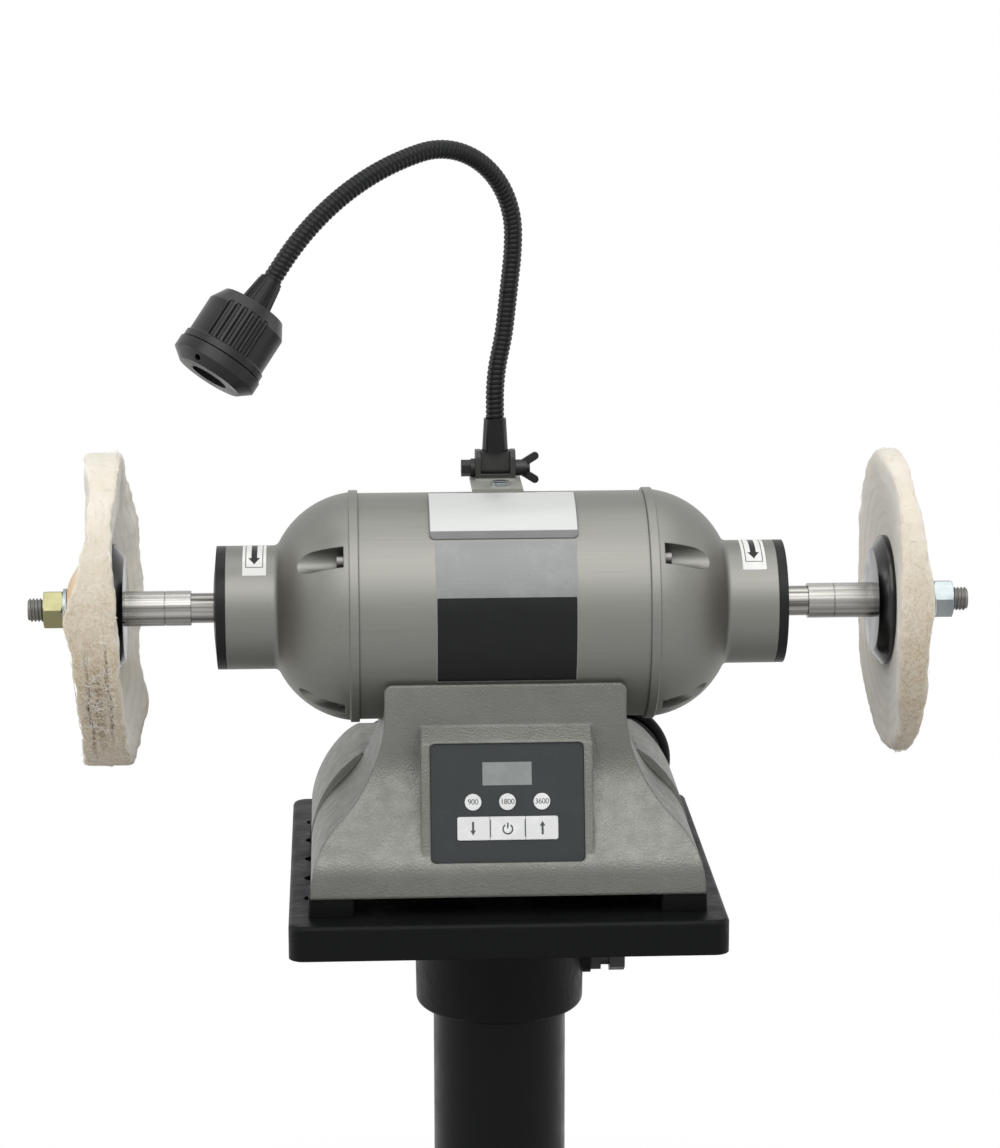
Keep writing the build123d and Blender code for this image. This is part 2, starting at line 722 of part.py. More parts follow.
KEY_BACK = PANEL_BACK - SLIDE_CLEAR - KEY_FLANGE_T
KEY_H = KEY_PROUD - PANEL_SINK - KEY_BACK


def round_key(u):
    cap = extrude(Circle(ROUND_KEY_R), KEY_H) + extrude(Circle(ROUND_KEY_R + KEY_FLANGE), KEY_FLANGE_T)
    return on_face(cap, u, ROUND_KEY_V, KEY_BACK)


def bar_key(u, width):
    tall = BAR_KEY_H + 2 * KEY_FLANGE
    face = Pos(u, 0) * Rectangle(width, BAR_KEY_H) & RectangleRounded(BAR_SPAN, BAR_KEY_H, BAR_CORNER)
    cap = extrude(face, KEY_H) + extrude(Pos(u, 0) * Rectangle(width, tall), KEY_FLANGE_T)
    return on_face(cap, 0, BAR_KEY_V, KEY_BACK)


def control_board():
    front = PANEL_BACK - BOARD_GAP
    board = on_face(extrude(Rectangle(BOARD_W, BOARD_H), BOARD_T), 0, 0, front - BOARD_T)
    at_u = BOARD_W / 2 - POST_INSET
    at_v = BOARD_H / 2 - POST_INSET
    post = extrude(Circle(POST_R), BOARD_GAP)
    board += [on_face(post, u, v, front) for u in (-at_u, at_u) for v in (-at_v, at_v)]
    board += on_face(extrude(Rectangle(DISPLAY_W, DISPLAY_H), BOARD_GAP), 0, DISPLAY_V, front)
    switch = extrude(Circle(SWITCH_R), KEY_BACK - KEY_TRAVEL - FIT_CLEAR - front)
    board += [on_face(switch, u, ROUND_KEY_V, front) for _, u in ROUND_KEYS]
    return board + [on_face(switch, u, BAR_KEY_V, front) for _, u, _ in BAR_KEYS]


def drive_unit():
    low = BASE_Z + COVER_T
    body = block(-DRIVE_W / 2, DRIVE_W / 2, DRIVE_Y - DRIVE_D / 2, DRIVE_Y + DRIVE_D / 2, low, low + DRIVE_H)
    step = (DRIVE_W - FIN_T) / (FIN_COUNT - 1)
    start = -DRIVE_W / 2
    fins = [block(start + i * step, start + i * step + FIN_T, DRIVE_Y - DRIVE_D / 2, DRIVE_Y + DRIVE_D / 2,
                  low + DRIVE_H, low + DRIVE_H + FIN_H) for i in range(FIN_COUNT)]
    return body + fins


# Motor shell with the lamp's pad, tapped for its screws
def around(radius, count, first_deg):
    """Places round the spindle, counted from the front's middle upwards."""
    angles = [radians(first_deg + 360 * k / count) for k in range(count)]
    return [(-radius * cos(a), radius * sin(a)) for a in angles]


SCREW_SPOTS = around(POCKET_AT, POCKET_COUNT, POCKET_TILT)


def motor_shell():
    shell = rod_x(SHELL_R, -SHELL_HALF, SHELL_HALF)
    shell += block(-PAD_HALF, PAD_HALF, PAD_Y0, PAD_Y1, 0, BRACKET_Z)
    shell -= rod_x(SHELL_BORE_R, -SHELL_HALF, SHELL_HALF)
    deep = SHELL_HALF - BELL_SCREW_BITE
    for y, z in SCREW_SPOTS:
        shell -= rod_x(BELL_SCREW_R, deep, SHELL_HALF, y, z)
        shell -= rod_x(BELL_SCREW_R, -SHELL_HALF, -deep, y, z)
    shell -= [rod_z(MOTOR_BOLT_R, CAVITY_Z, MOTOR_BOLT_TIP_Z, x, y) for x, y in MOTOR_BOLT_SPOTS]
    return shell - rod_z(BRACKET_SCREW_R, BRACKET_Z - BRACKET_SCREW_BITE, BRACKET_Z, BRACKET_SCREW_X, BRACKET_SCREW_Y)


# End bell on the right: rim, dome, neck, bearing seat and screw pockets
def end_bell():
    rim_x = SHELL_HALF + RIM_L
    seat_r = BEARING_R - SEAT_LIP
    bore_r = SHELL_BORE_R - BELL_WALL
    spigot_x = SHELL_HALF - SPIGOT_L
    dome = ThreePointArc((rim_x, DOME_R0), (SHELL_HALF + DOME_BOW_L, DOME_BOW_R), (NECK_X, NECK_R))
    outside = Polyline((NECK_X, NECK_R), (BELL_END_X, NECK_R), (BELL_END_X, BEARING_R), (BEARING_X0, BEARING_R),
                       (BEARING_X0, seat_r), (BEARING_X0 - SEAT_LIP, seat_r),
                       (SHELL_HALF + DOME_BOW_L - BELL_WALL, DOME_BOW_R - 2 * BELL_WALL),
                       (rim_x, bore_r), (spigot_x, bore_r), (spigot_x, SHELL_BORE_R),
                       (SHELL_HALF, SHELL_BORE_R), (SHELL_HALF, RIM_R), (rim_x, RIM_R), (rim_x, DOME_R0))
    bell = revolve(make_face([dome, outside]), Axis.X)
    wall_x = SHELL_HALF + POCKET_WALL
    for y, z in SCREW_SPOTS:
        bell -= rod_x(POCKET_R, wall_x, NECK_X, y, z)
        bell -= rod_x(BELL_SCREW_R, SHELL_HALF, wall_x, y, z)
    return bell


def bell_screws():
    wall_x = SHELL_HALF + POCKET_WALL
    screws = []
    for y, z in SCREW_SPOTS:
        screw = rod_x(BELL_SCREW_HEAD_R, wall_x, wall_x + BELL_SCREW_HEAD_T, y, z)
        screws.append(screw + rod_x(BELL_SCREW_R, SHELL_HALF - BELL_SCREW_BITE, wall_x, y, z))
    return screws + [mirror(screw, Plane.YZ) for screw in screws]


def bearing_cap():
    ring_r = BEARING_R - SEAT_LIP
    crown_x = CAP_END_X + CAP_CROWN
    return turned([(BEARING_X1, ring_r), (BEARING_X1, BEARING_R), (BELL_END_X, BEARING_R), (BELL_END_X, NECK_R),
                   (CAP_END_X, NECK_R), (crown_x, ring_r), (crown_x, CAP_BORE_R), (BELL_END_X, CAP_BORE_R),
                   (BELL_END_X, ring_r)])


# Badge: a bare curved plate with a bevelled lower edge
def badge_plate():
    def spot(deg, r):
        return (-r * sin(radians(deg)), r * cos(radians(deg)))

    outer_r = SHELL_R + BADGE_T
    mid = (BADGE_TOP_DEG + BADGE_FACE_DEG) / 2
    low = (BADGE_TOP_DEG + BADGE_END_DEG) / 2
    face = ThreePointArc(spot(BADGE_TOP_DEG, outer_r), spot(mid, outer_r), spot(BADGE_FACE_DEG, outer_r))
    bevel = Polyline(spot(BADGE_FACE_DEG, outer_r), spot(BADGE_END_DEG, SHELL_R + BADGE_LIP),
                     spot(BADGE_END_DEG, SHELL_R))
    back = ThreePointArc(spot(BADGE_END_DEG, SHELL_R), spot(low, SHELL_R), spot(BADGE_TOP_DEG, SHELL_R))
    top = Line(spot(BADGE_TOP_DEG, SHELL_R), spot(BADGE_TOP_DEG, outer_r))
    spare = BADGE_HALF + BADGE_CORNER
    plate = along_x(make_face([face, bevel, back, top]), -spare, spare)
    # The ends and the rounded lower corners are cut square to the plate's lower edge
    aim = radians(BADGE_END_DEG)
    edge = Plane(origin=(0, -SHELL_R * sin(aim), SHELL_R * cos(aim)), x_dir=(1, 0, 0),
                 z_dir=(0, -sin(aim), cos(aim)))
    frame = Pos(0, SHELL_R / 2 + BADGE_TRIM) * RectangleRounded(2 * BADGE_HALF, SHELL_R, BADGE_CORNER)
    return plate & edge.location * extrude(frame, SHELL_R, both=True)


def ring(inner_r, outer_r, x0, x1):
    return rod_x(outer_r, x0, x1) - rod_x(inner_r, x0, x1)


# Ball bearings: races with a shared ball track
BALL_AT = (INNER_RACE_R + OUTER_RACE_R) / 2
BEARING_MID = (BEARING_X0 + BEARING_X1) / 2


def race(inner_r, outer_r):
    track = Pos(BEARING_MID, 0, 0) * Rot(0, 90, 0) * Torus(BALL_AT, BALL_R + BALL_CLEAR)
    return ring(inner_r, outer_r, BEARING_X0, BEARING_X1) - track


def bearing_balls():
    right = [Pos(BEARING_MID, y, z) * Sphere(BALL_R) for y, z in around(BALL_AT, BALL_COUNT, 0)]
    return right + [mirror(ball, Plane.YZ) for ball in right]


# Spindle: one stepped shaft from end to end
def spindle_shaft():
    half = [(SPINDLE_END_X, THREAD_R), (SHAFT_SHOULDER_X, THREAD_R), (SHAFT_SHOULDER_X, SHAFT_R),
            (BEARING_X1, SHAFT_R), (BEARING_X1, BEARING_BORE_R), (BEARING_X0, BEARING_BORE_R),
            (BEARING_X0, CORE_SHAFT_R)]
    other = [(-x, r) for x, r in reversed(half)]
    return turned([(SPINDLE_END_X, 0)] + half + other + [(-SPINDLE_END_X, 0)])


def wheel_spacer():
    joint = SHAFT_SHOULDER_X + SPACER_JOINT
    sleeve = ring(ARBOR_R, SPACER_R, SHAFT_SHOULDER_X, SPACER_END_X)
    return sleeve - ring(SPACER_R - SPACER_GROOVE, SPACER_R, joint, joint + SPACER_GROOVE)


def inner_flange():
    return turned([(INNER_FLANGE_X, SPACER_R), (INNER_FLANGE_X, FLANGE_HUB_R), (WHEEL_X0, FLANGE_RIM_R),
                   (WHEEL_X0, FLANGE_DISH_R), (WHEEL_X0 - FLANGE_DISH, FLANGE_DISH_R),
                   (WHEEL_X0 - FLANGE_DISH, ARBOR_R), (SPACER_END_X, ARBOR_R), (SPACER_END_X, SPACER_R)])


def cotton_wheel(rim_t, lean):
    """A buff on the right: its plies swell out to the nut at the hub, and lean inwards at the rim."""
    low = WHEEL_X0 - lean
    high = low + rim_t
    shoulder = WHEEL_R - WHEEL_EDGE
    turn = WHEEL_EDGE * (1 - cos(radians(45)))
    sides = Polyline((high, shoulder), (high, SWELL_END_R), (WHEEL_X1, SWELL_R), (WHEEL_X1, ARBOR_R),
                     (WHEEL_X0, ARBOR_R), (WHEEL_X0, RIM_START_R), (low, RIM_FULL_R), (low, shoulder))
    left = ThreePointArc((low, shoulder), (low + turn, WHEEL_R - turn), (low + WHEEL_EDGE, WHEEL_R))
    tread = Line((low + WHEEL_EDGE, WHEEL_R), (high - WHEEL_EDGE, WHEEL_R))
    right = ThreePointArc((high - WHEEL_EDGE, WHEEL_R), (high - turn, WHEEL_R - turn), (high, shoulder))
    return revolve(make_face([sides, left, tread, right]), Axis.X)


def arbor_nut():
    corner = NUT_AF / 2 / cos(pi / 6)
    face = corner - NUT_CHAMFER
    end = NUT_X + NUT_T
    slope = NUT_CHAMFER * tan(pi / 6)
    nut = Pos(NUT_X, 0, 0) * Rot(0, 90, 0) * hex_bar(NUT_AF, NUT_T, NUT_TURN)
    nut &= turned([(NUT_X, 0), (NUT_X, face), (NUT_X + slope, corner), (end - slope, corner), (end, face), (end, 0)])
    return nut - rod_x(THREAD_R, NUT_X, NUT_X + NUT_T)


def pair(solid):
    return [MACHINE * mirror(solid, Plane.YZ), MACHINE * solid]


# Lamp bracket, its screw, and the clevis with its pivot
BRACKET_TOP = BRACKET_Z + BRACKET_T
CLEVIS_Z = BRACKET_TOP + BRACKET_STEP_T
EAR_RIGHT_X = LAMP_X + CLEVIS_GAP / 2 + EAR_T
EAR_LEFT_X = LAMP_X - CLEVIS_GAP / 2 - EAR_T


def lamp_bracket():
    left = LAMP_X - BRACKET_HALF
    right = LAMP_X + BRACKET_HALF
    plate = block(left, right, BRACKET_Y0, BRACKET_Y1, BRACKET_Z, BRACKET_TOP)
    plate += block(EAR_LEFT_X, EAR_RIGHT_X, PIVOT_Y - EAR_DEPTH / 2, BRACKET_Y1, BRACKET_Z, CLEVIS_Z)
    return plate - rod_z(BRACKET_SCREW_R, BRACKET_Z, BRACKET_TOP, BRACKET_SCREW_X, BRACKET_SCREW_Y)


def bracket_screw():
    top = BRACKET_TOP + BRACKET_SCREW_HEAD_T
    head = rod_z(BRACKET_SCREW_HEAD_R, BRACKET_TOP, top)
    slot = block(-BRACKET_SCREW_HEAD_R, BRACKET_SCREW_HEAD_R, -SCREW_SLOT_W / 2, SCREW_SLOT_W / 2,
                 top - BRACKET_SCREW_HEAD_T / 2, top)
    screw = head - slot + rod_z(BRACKET_SCREW_R, BRACKET_Z - BRACKET_SCREW_BITE, BRACKET_TOP)
    return Pos(BRACKET_SCREW_X, BRACKET_SCREW_Y, 0) * screw


def lamp_clevis():
    y0 = PIVOT_Y - EAR_DEPTH / 2
    y1 = PIVOT_Y + EAR_DEPTH / 2
    top = BRACKET_TOP + CLEVIS_H
    body = block(EAR_LEFT_X, EAR_RIGHT_X, y0, y1, CLEVIS_Z, top)
    body = fillet(body.faces().sort_by(Axis.Z)[-1].edges().filter_by(Axis.X), EAR_DEPTH / 3)
    gap = CLEVIS_GAP / 2
    body -= block(LAMP_X - gap, LAMP_X + gap, y0, y1, CLEVIS_Z + CLEVIS_FLOOR_T, top)
    return body - rod_x(PIVOT_R, EAR_LEFT_X, EAR_RIGHT_X, PIVOT_Y, PIVOT_Z)


def pivot_bolt():
    washer_x = EAR_LEFT_X - PIVOT_WASHER_T
    tip = EAR_RIGHT_X + PIVOT_TAIL
    head = Pos(washer_x - PIVOT_HEAD_T, PIVOT_Y, PIVOT_Z) * Rot(0, 90, 0) * hex_bar(PIVOT_HEAD_AF, PIVOT_HEAD_T)
    washer = rod_x(PIVOT_WASHER_R, washer_x, EAR_LEFT_X, PIVOT_Y, PIVOT_Z)
    return head + washer + rod_x(PIVOT_R, EAR_LEFT_X, tip, PIVOT_Y, PIVOT_Z)


def wing_nut():
    start = EAR_RIGHT_X + RUN_CLEAR
    hub_end = EAR_RIGHT_X + WING_HUB_L
    tip_x = EAR_RIGHT_X + WING_FLARE
    root_x = EAR_RIGHT_X + WING_ROOT
    root_z = WING_HUB_R / 2
    run = tip_x - WING_W / 2 - root_x
    rise = WING_REACH - WING_W / 2 - root_z
    wing = SlotCenterToCenter(hypot(run, rise), WING_W)
    wing = Pos(root_x + run / 2, root_z + rise / 2) * Rot(0, 0, degrees(atan2(rise, run))) * wing
    upper = Pos(0, WING_T / 2, 0) * extrude(Plane.XZ * wing, WING_T)
    nut = rod_x(WING_HUB_R, start, hub_end) + upper + mirror(upper, Plane.XY)
    nut -= rod_x(PIVOT_R + RUN_CLEAR, start, tip_x)
    return Pos(0, PIVOT_Y, PIVOT_Z) * nut


def swivel_block():
    half = CLEVIS_GAP / 2 - FIT_CLEAR
    deep = BLOCK_DEPTH / 2
    body = block(LAMP_X - half, LAMP_X + half, PIVOT_Y - deep, PIVOT_Y + deep, PIVOT_Z, PIVOT_Z + BLOCK_H)
    body += rod_x(deep, LAMP_X - half, LAMP_X + half, PIVOT_Y, PIVOT_Z)
    return body - rod_x(PIVOT_R + RUN_CLEAR, LAMP_X - half, LAMP_X + half, PIVOT_Y, PIVOT_Z)


# Gooseneck: a chain of straight pieces and arcs in one upright plane
ARM_FOOT_Z = PIVOT_Z + BLOCK_H
NECK_FOOT_Z = ARM_FOOT_Z + LOWER_BOOT_L
ARM_DIR = Vector(cos(radians(NECK_AZIMUTH)), sin(radians(NECK_AZIMUTH)), 0)
ARM_SIDE = Vector(0, 0, 1).cross(ARM_DIR)
LOWER_CHAIN = [(0, HOSE_START), (-SWAY_DEG, SWAY_R0), (SWAY_DEG / 2, SWAY_R1), (0, STEM_L / 2)]
UPPER_CHAIN = [(0, STEM_L / 2), (SWAY_DEG / 2, SWAY_R1), (ARCH_DEG, ARCH_R), (CROWN_DEG, CROWN_R),
               (DROP_DEG, DROP_R), (0, HOSE_END)]


def piece_length(turn, size):
    return size if turn == 0 else abs(radians(turn)) * size


def chain_length(chain):
    return sum(piece_length(turn, size) for turn, size in chain)


def chain_spot(chain, along, start=(0.0, NECK_FOOT_Z, 0.0)):
    """Reach, height and lean (radians from upright) at a distance along the chain."""
    reach, height, lean = start
    for turn, size in chain:
        length = piece_length(turn, size)
        step = min(along, length)
        bend = radians(turn) * step / length
        chord = step if turn == 0 else 2 * size * sin(abs(bend) / 2)
        reach += chord * sin(lean + bend / 2)
        height += chord * cos(lean + bend / 2)
        lean += bend
        along -= step
        if along <= 0:
            break
    return reach, height, lean


def arm_plane(spot):
    reach, height, lean = spot
    origin = Vector(LAMP_X, PIVOT_Y, height) + ARM_DIR * reach
    return Plane(origin=origin, x_dir=ARM_SIDE, z_dir=ARM_DIR * sin(lean) + Vector(0, 0, cos(lean)))


RIB_SHAPE = [(0.0, HOSE_ROOT_R), (0.2, HOSE_R), (0.7, HOSE_R), (0.9, HOSE_ROOT_R)]


def ribbed_hose(chain, start):
    length = chain_length(chain)
    count = round(length / RIB_PITCH)
    pitch = length / count
    rings = []
    bore = []
    for rib in range(count):
        for share, radius in RIB_SHAPE:
            rings.append(arm_plane(chain_spot(chain, (rib + share) * pitch, start)) * Circle(radius))
        bore.append(arm_plane(chain_spot(chain, rib * pitch, start)) * Circle(HOSE_BORE_R))
    end = arm_plane(chain_spot(chain, length, start))
    rings.append(end * Circle(HOSE_ROOT_R))
    bore.append(end * Circle(HOSE_BORE_R))
    print("hose ribs", count, "pitch", round(pitch, 3))
    return loft(rings, ruled=True) - loft(bore, ruled=True)


NECK_START = (0.0, NECK_FOOT_Z, 0.0)
NECK_SPLIT = chain_spot(LOWER_CHAIN, chain_length(LOWER_CHAIN), NECK_START)
NECK_END = chain_spot(UPPER_CHAIN, chain_length(UPPER_CHAIN), NECK_SPLIT)


def lower_boot():
    cone = Pos(LAMP_X, PIVOT_Y, ARM_FOOT_Z + LOWER_BOOT_L / 2) * Cone(LOWER_BOOT_R0, LOWER_BOOT_R1, LOWER_BOOT_L)
    return cone - rod_z(HOSE_BORE_R, ARM_FOOT_Z, NECK_FOOT_Z, LAMP_X, PIVOT_Y)


# Lamp head, drawn along X from the hose's end, then turned to the hose's direction
END_PLANE = arm_plane(NECK_END)
BOOT_PLACE = Plane(origin=END_PLANE.origin, x_dir=END_PLANE.z_dir, z_dir=ARM_SIDE)
HEAD_PLACE = Plane(origin=END_PLANE.origin + END_PLANE.z_dir * UPPER_BOOT_L, x_dir=END_PLANE.z_dir, z_dir=ARM_SIDE)


def upper_boot():
    boot = turned([(0, HOSE_BORE_R), (0, UPPER_BOOT_R0), (UPPER_BOOT_L, UPPER_BOOT_R1), (UPPER_BOOT_L, HOSE_BORE_R)])
    margin = UPPER_BOOT_L / 10
    outline = Polyline((margin, UPPER_BOOT_R0 - BOOT_RIB_R), (margin, UPPER_BOOT_R0 + BOOT_RIB_R / 2),
                       (UPPER_BOOT_L - margin, UPPER_BOOT_R1 + BOOT_RIB_R / 2),
                       (UPPER_BOOT_L - margin, UPPER_BOOT_R0 - BOOT_RIB_R), close=True)
    rib = Pos(0, 0, -BOOT_RIB_R) * extrude(make_face(outline), 2 * BOOT_RIB_R)
    boot += [Rot(360 * k / BOOT_RIBS, 0, 0) * rib for k in range(BOOT_RIBS)]
    return BOOT_PLACE.location * boot


def fin_turns():
    first = -FIN_PITCH_DEG * (FIN_GROOVES - 1) / 2
    return [FIN_SECTOR_DEG + 360 * s / FIN_SECTORS + first + k * FIN_PITCH_DEG
            for s in range(FIN_SECTORS) for k in range(FIN_GROOVES)]


def lamp_housing():
    flange_end = HEAD_L - HEAD_GROOVE_W
    body = turned([(0, 0), (0, HEAD_BACK_R), (HEAD_CHAMFER_L, HEAD_R), (HEAD_BODY_L, HEAD_R),
                   (HEAD_BODY_L + HEAD_FLANGE_RISE, HEAD_FLANGE_R), (flange_end, HEAD_FLANGE_R),
                   (flange_end, HEAD_GROOVE_R), (HEAD_L, HEAD_GROOVE_R), (HEAD_L, LED_SEAT_R),
                   (LED_SEAT, LED_SEAT_R), (LED_SEAT, HEAD_CAVITY_R), (HEAD_CHAMFER_L, HEAD_CAVITY_R),
                   (HEAD_BACK_T, HEAD_BACK_R - HEAD_SIDE_T), (HEAD_BACK_T, 0)])
    flute = rod_x(FIN_GROOVE_R, FIN_GROOVE_START, HEAD_BODY_L, HEAD_R - FIN_GROOVE_D + FIN_GROOVE_R)
    body -= [Rot(turn, 0, 0) * flute for turn in fin_turns()]
    body -= rod_x(HOSE_BORE_R, 0, HEAD_BACK_T)
    body -= rod_x(SWITCH_KEY_R + SLIDE_CLEAR, 0, HEAD_BACK_T, *SWITCH_KEY_SPOT)
    return HEAD_PLACE.location * body


SWITCH_KEY_SPOT = (SWITCH_KEY_AT * cos(radians(SWITCH_KEY_DEG)), SWITCH_KEY_AT * sin(radians(SWITCH_KEY_DEG)))


def lamp_bezel():
    corner = HEAD_L + BEZEL_CORNER
    front = corner + BEZEL_FRONT_L
    seat = front - LENS_SINK
    ring_solid = turned([(HEAD_L, HEAD_GROOVE_R), (HEAD_L, BEZEL_R), (corner, BEZEL_R), (front, BEZEL_FRONT_R),
                         (front, BEZEL_HOLE_R), (seat, BEZEL_HOLE_R), (seat, LENS_R), (seat - LENS_T, LENS_R),
                         (seat - LENS_T, BEZEL_CAVITY_R), (HEAD_L, BEZEL_CAVITY_R)])
    slope = degrees(atan2(BEZEL_FRONT_L, BEZEL_R - BEZEL_FRONT_R))
    port = Rot(0, 0, slope) * rod_x(BEZEL_PORT_R, -BEZEL_PORT_D, BEZEL_PORT_D)
    port = Pos(corner + BEZEL_FRONT_L / 2, (BEZEL_R + BEZEL_FRONT_R) / 2, 0) * port
    return HEAD_PLACE.location * (ring_solid - Rot(BEZEL_PORT_DEG, 0, 0) * port)


def lamp_lens():
    seat = HEAD_L + BEZEL_CORNER + BEZEL_FRONT_L - LENS_SINK
    return HEAD_PLACE.location * rod_x(LENS_R, seat - LENS_T, seat)


def lamp_led_board():
    disc = rod_x(LED_SEAT_R, LED_SEAT, LED_SEAT + LED_T)
    dome = Pos(LED_SEAT + LED_T, 0, 0) * Rot(0, 90, 0) * Sphere(LED_LENS_R, arc_size1=0)
    return HEAD_PLACE.location * (disc + dome)


def lamp_switch():
    flange_x = HEAD_BACK_T + SLIDE_CLEAR
    cap = rod_x(SWITCH_KEY_R, -SWITCH_KEY_PROUD, flange_x + SWITCH_KEY_FLANGE_T)
    cap += rod_x(SWITCH_KEY_R + SWITCH_KEY_FLANGE, flange_x, flange_x + SWITCH_KEY_FLANGE_T)
    return HEAD_PLACE.location * Pos(0, *SWITCH_KEY_SPOT) * cap


# Strain relief through the base's rear wall
RELIEF_TIP_Y = LIP_REAR_Y + RELIEF_L


def strain_relief():
    inside = LIP_REAR_Y - BASE_WALL
    sleeve = turned([(inside - RELIEF_RING_T, 0), (inside - RELIEF_RING_T, RELIEF_BASE_R), (inside, RELIEF_BASE_R),
                     (inside, RELIEF_NECK_R), (LIP_REAR_Y, RELIEF_NECK_R), (LIP_REAR_Y, RELIEF_BASE_R),
                     (RELIEF_TIP_Y, RELIEF_TIP_R), (RELIEF_TIP_Y, 0)])
    return Pos(RELIEF_X, 0, RELIEF_Z) * Rot(0, 0, 90) * sleeve


# Hank of cord, on edge behind the base: runs along X between folds at both ends
CORD_Z = BASE_Z - FOOT_H + CORD_R + SLIDE_CLEAR
HANK_Z = CORD_Z + FOLD_R
FRONT_Y = LIP_REAR_Y + HANK_CLEAR + CORD_R
REAR_Y = FRONT_Y + 2 * CORD_R + LAYER_GAP
FOLD_LEFT_X = FOLD_RIGHT_X - RUN_L
WAIST_X = FOLD_RIGHT_X - RUN_L / 2


def swing(start, end):
    """Two tangent arcs between points whose directions both lie along X."""
    a = Vector(*start)
    b = Vector(*end)
    along = Vector(b.X - a.X, 0, 0)
    shift = b - a - along
    half = atan(shift.length / along.length)
    radius = (b - a).length / (4 * sin(half))
    fore = along.normalized() * (radius * sin(half))
    side = shift.normalized() * (radius * (1 - cos(half)))
    mid = (a + b) * 0.5
    return [ThreePointArc(a, a + fore + side, mid), ThreePointArc(mid, b - fore - side, b)]


def fold(x, y, radius, side, rise):
    """Half a turn at one end of the hank; side is +1 at the right, rise is +1 when it climbs."""
    return [ThreePointArc((x, y, HANK_Z - rise * radius), (x + side * radius, y, HANK_Z),
                          (x, y, HANK_Z + rise * radius))]


def run(x0, y0, r0, x1, y1, r1, up, waist_y):
    """A run between two folds, drawn in at the waist; up is +1 for the upper runs."""
    waist = (WAIST_X, waist_y, HANK_Z + up * WAIST_SHARE * (r0 + r1) / 2)
    return (swing((x0, y0, HANK_Z + up * r0), waist) + swing(waist, (x1, y1, HANK_Z + up * r1)))


HANK_START = (FOLD_RIGHT_X - HANK_LEAD, REAR_Y, CORD_Z)
R_OUT = FOLD_R
R_MID = FOLD_R - FOLD_STEP / 2
R_IN = FOLD_R - FOLD_STEP
HANK_END = (FOLD_RIGHT_X - 2 * CORD_R, FRONT_Y, HANK_Z + R_MID)


def hank_path():
    right = FOLD_RIGHT_X
    left = FOLD_LEFT_X
    path = [Line(HANK_START, (right, REAR_Y, CORD_Z))]
    path += fold(right, REAR_Y, R_OUT, 1, 1)
    path += run(right, REAR_Y, R_OUT, left, REAR_Y, R_MID, 1, REAR_Y)
    path += fold(left, REAR_Y, R_MID, -1, -1)
    path += run(left, REAR_Y, R_MID, right, REAR_Y, R_IN, -1, REAR_Y)
    path += fold(right, REAR_Y, R_IN, 1, 1)
    path += run(right, REAR_Y, R_IN, left, FRONT_Y, R_IN, 1, FRONT_Y)
    path += fold(left, FRONT_Y, R_IN, -1, -1)
    path += run(left, FRONT_Y, R_IN, right, FRONT_Y, R_MID, -1, FRONT_Y)
    path += fold(right, FRONT_Y, R_MID, 1, 1)
    path += [Line((right, FRONT_Y, HANK_Z + R_MID), HANK_END)]
    return Wire(path)


def least_gap(path, step):
    """Least clear distance between the tube's own strands, measured on points."""
    count = int(path.length / step)
    points = [path.position_at(k / count) for k in range(count + 1)]
    skip = int(pi * R_IN / step)
    best = None
    for i in range(0, count, 2):
        for j in range(i + skip, count + 1, 2):
            gap = (points[i] - points[j]).length - 2 * CORD_R
            best = gap if best is None else min(best, gap)
    return best


def tube(path):
    start = Plane(origin=path.position_at(0), z_dir=path.tangent_at(0))
    solid = sweep(start * Circle(CORD_R), path=path)
    section = pi * CORD_R ** 2
    print("tube length", round(path.length, 1), "volume over section times length",
          round(solid.volume / (section * path.length), 4))
    return solid


def cord_path(points):
    """Straight runs joined by arcs as large as the runs allow."""
    spots = [Vector(*p) for p in points]
    radii = []
    for a, b, c in zip(spots, spots[1:], spots[2:]):
        turn = radians((b - a).get_angle(c - b))
        radii.append(CORD_ARC_SHARE * min((b - a).length, (c - b).length) / tan(turn / 2))
    print("cord radii", [round(r, 1) for r in radii])
    return FilletPolyline(*points, radius=radii)


# The stretch from the strain relief round to the hank, lying on the stand's plate
ENTRY_POINTS = [
    (RELIEF_X, RELIEF_TIP_Y, RELIEF_Z),
    (RELIEF_X, RELIEF_TIP_Y + 19.0, RELIEF_Z),
    (-104.0, 156.0, -163.5),
    (-88.5, 168.5, -169.0),
    (-69.0, 173.0, -174.5),
    (-47.5, 168.5, -178.0),
    (-26.5, 153.5, CORD_Z),
    (-8.0, 134.5, CORD_Z),
    (13.0, REAR_Y, CORD_Z),
    HANK_START,
]

# Plug on the ledge behind the tower
PLUG_Y = TOWER_Y + PLUG_R + PLUG_STANDOFF
PLUG_Z = SHOULDER_Z + PLUG_R + SLIDE_CLEAR
PLUG_X = HANK_END[0] - PLUG_REACH


def tail_path():
    return Wire(swing(HANK_END, (PLUG_X, PLUG_Y, PLUG_Z)))


def plug():
    neck = PLUG_TAIL_L
    body = turned([(0, 0), (0, PLUG_TAIL_R), (neck, PLUG_R - PLUG_EDGE), (neck + PLUG_EDGE, PLUG_R),
                   (neck + PLUG_L, PLUG_R), (neck + PLUG_L, 0)])
    face = neck + PLUG_L
    blade = block(face, face + BLADE_L, -BLADE_T / 2, BLADE_T / 2, -BLADE_W / 2, BLADE_W / 2)
    pins = [Pos(0, side * BLADE_STEP / 2, 0) * blade for side in (-1, 1)]
    pins.append(rod_x(PIN_R, face, face + BLADE_L, 0, -PIN_DROP))
    place = Pos(PLUG_X, PLUG_Y, PLUG_Z) * Rot(0, 0, 180)
    return [place * piece for piece in [body] + pins]


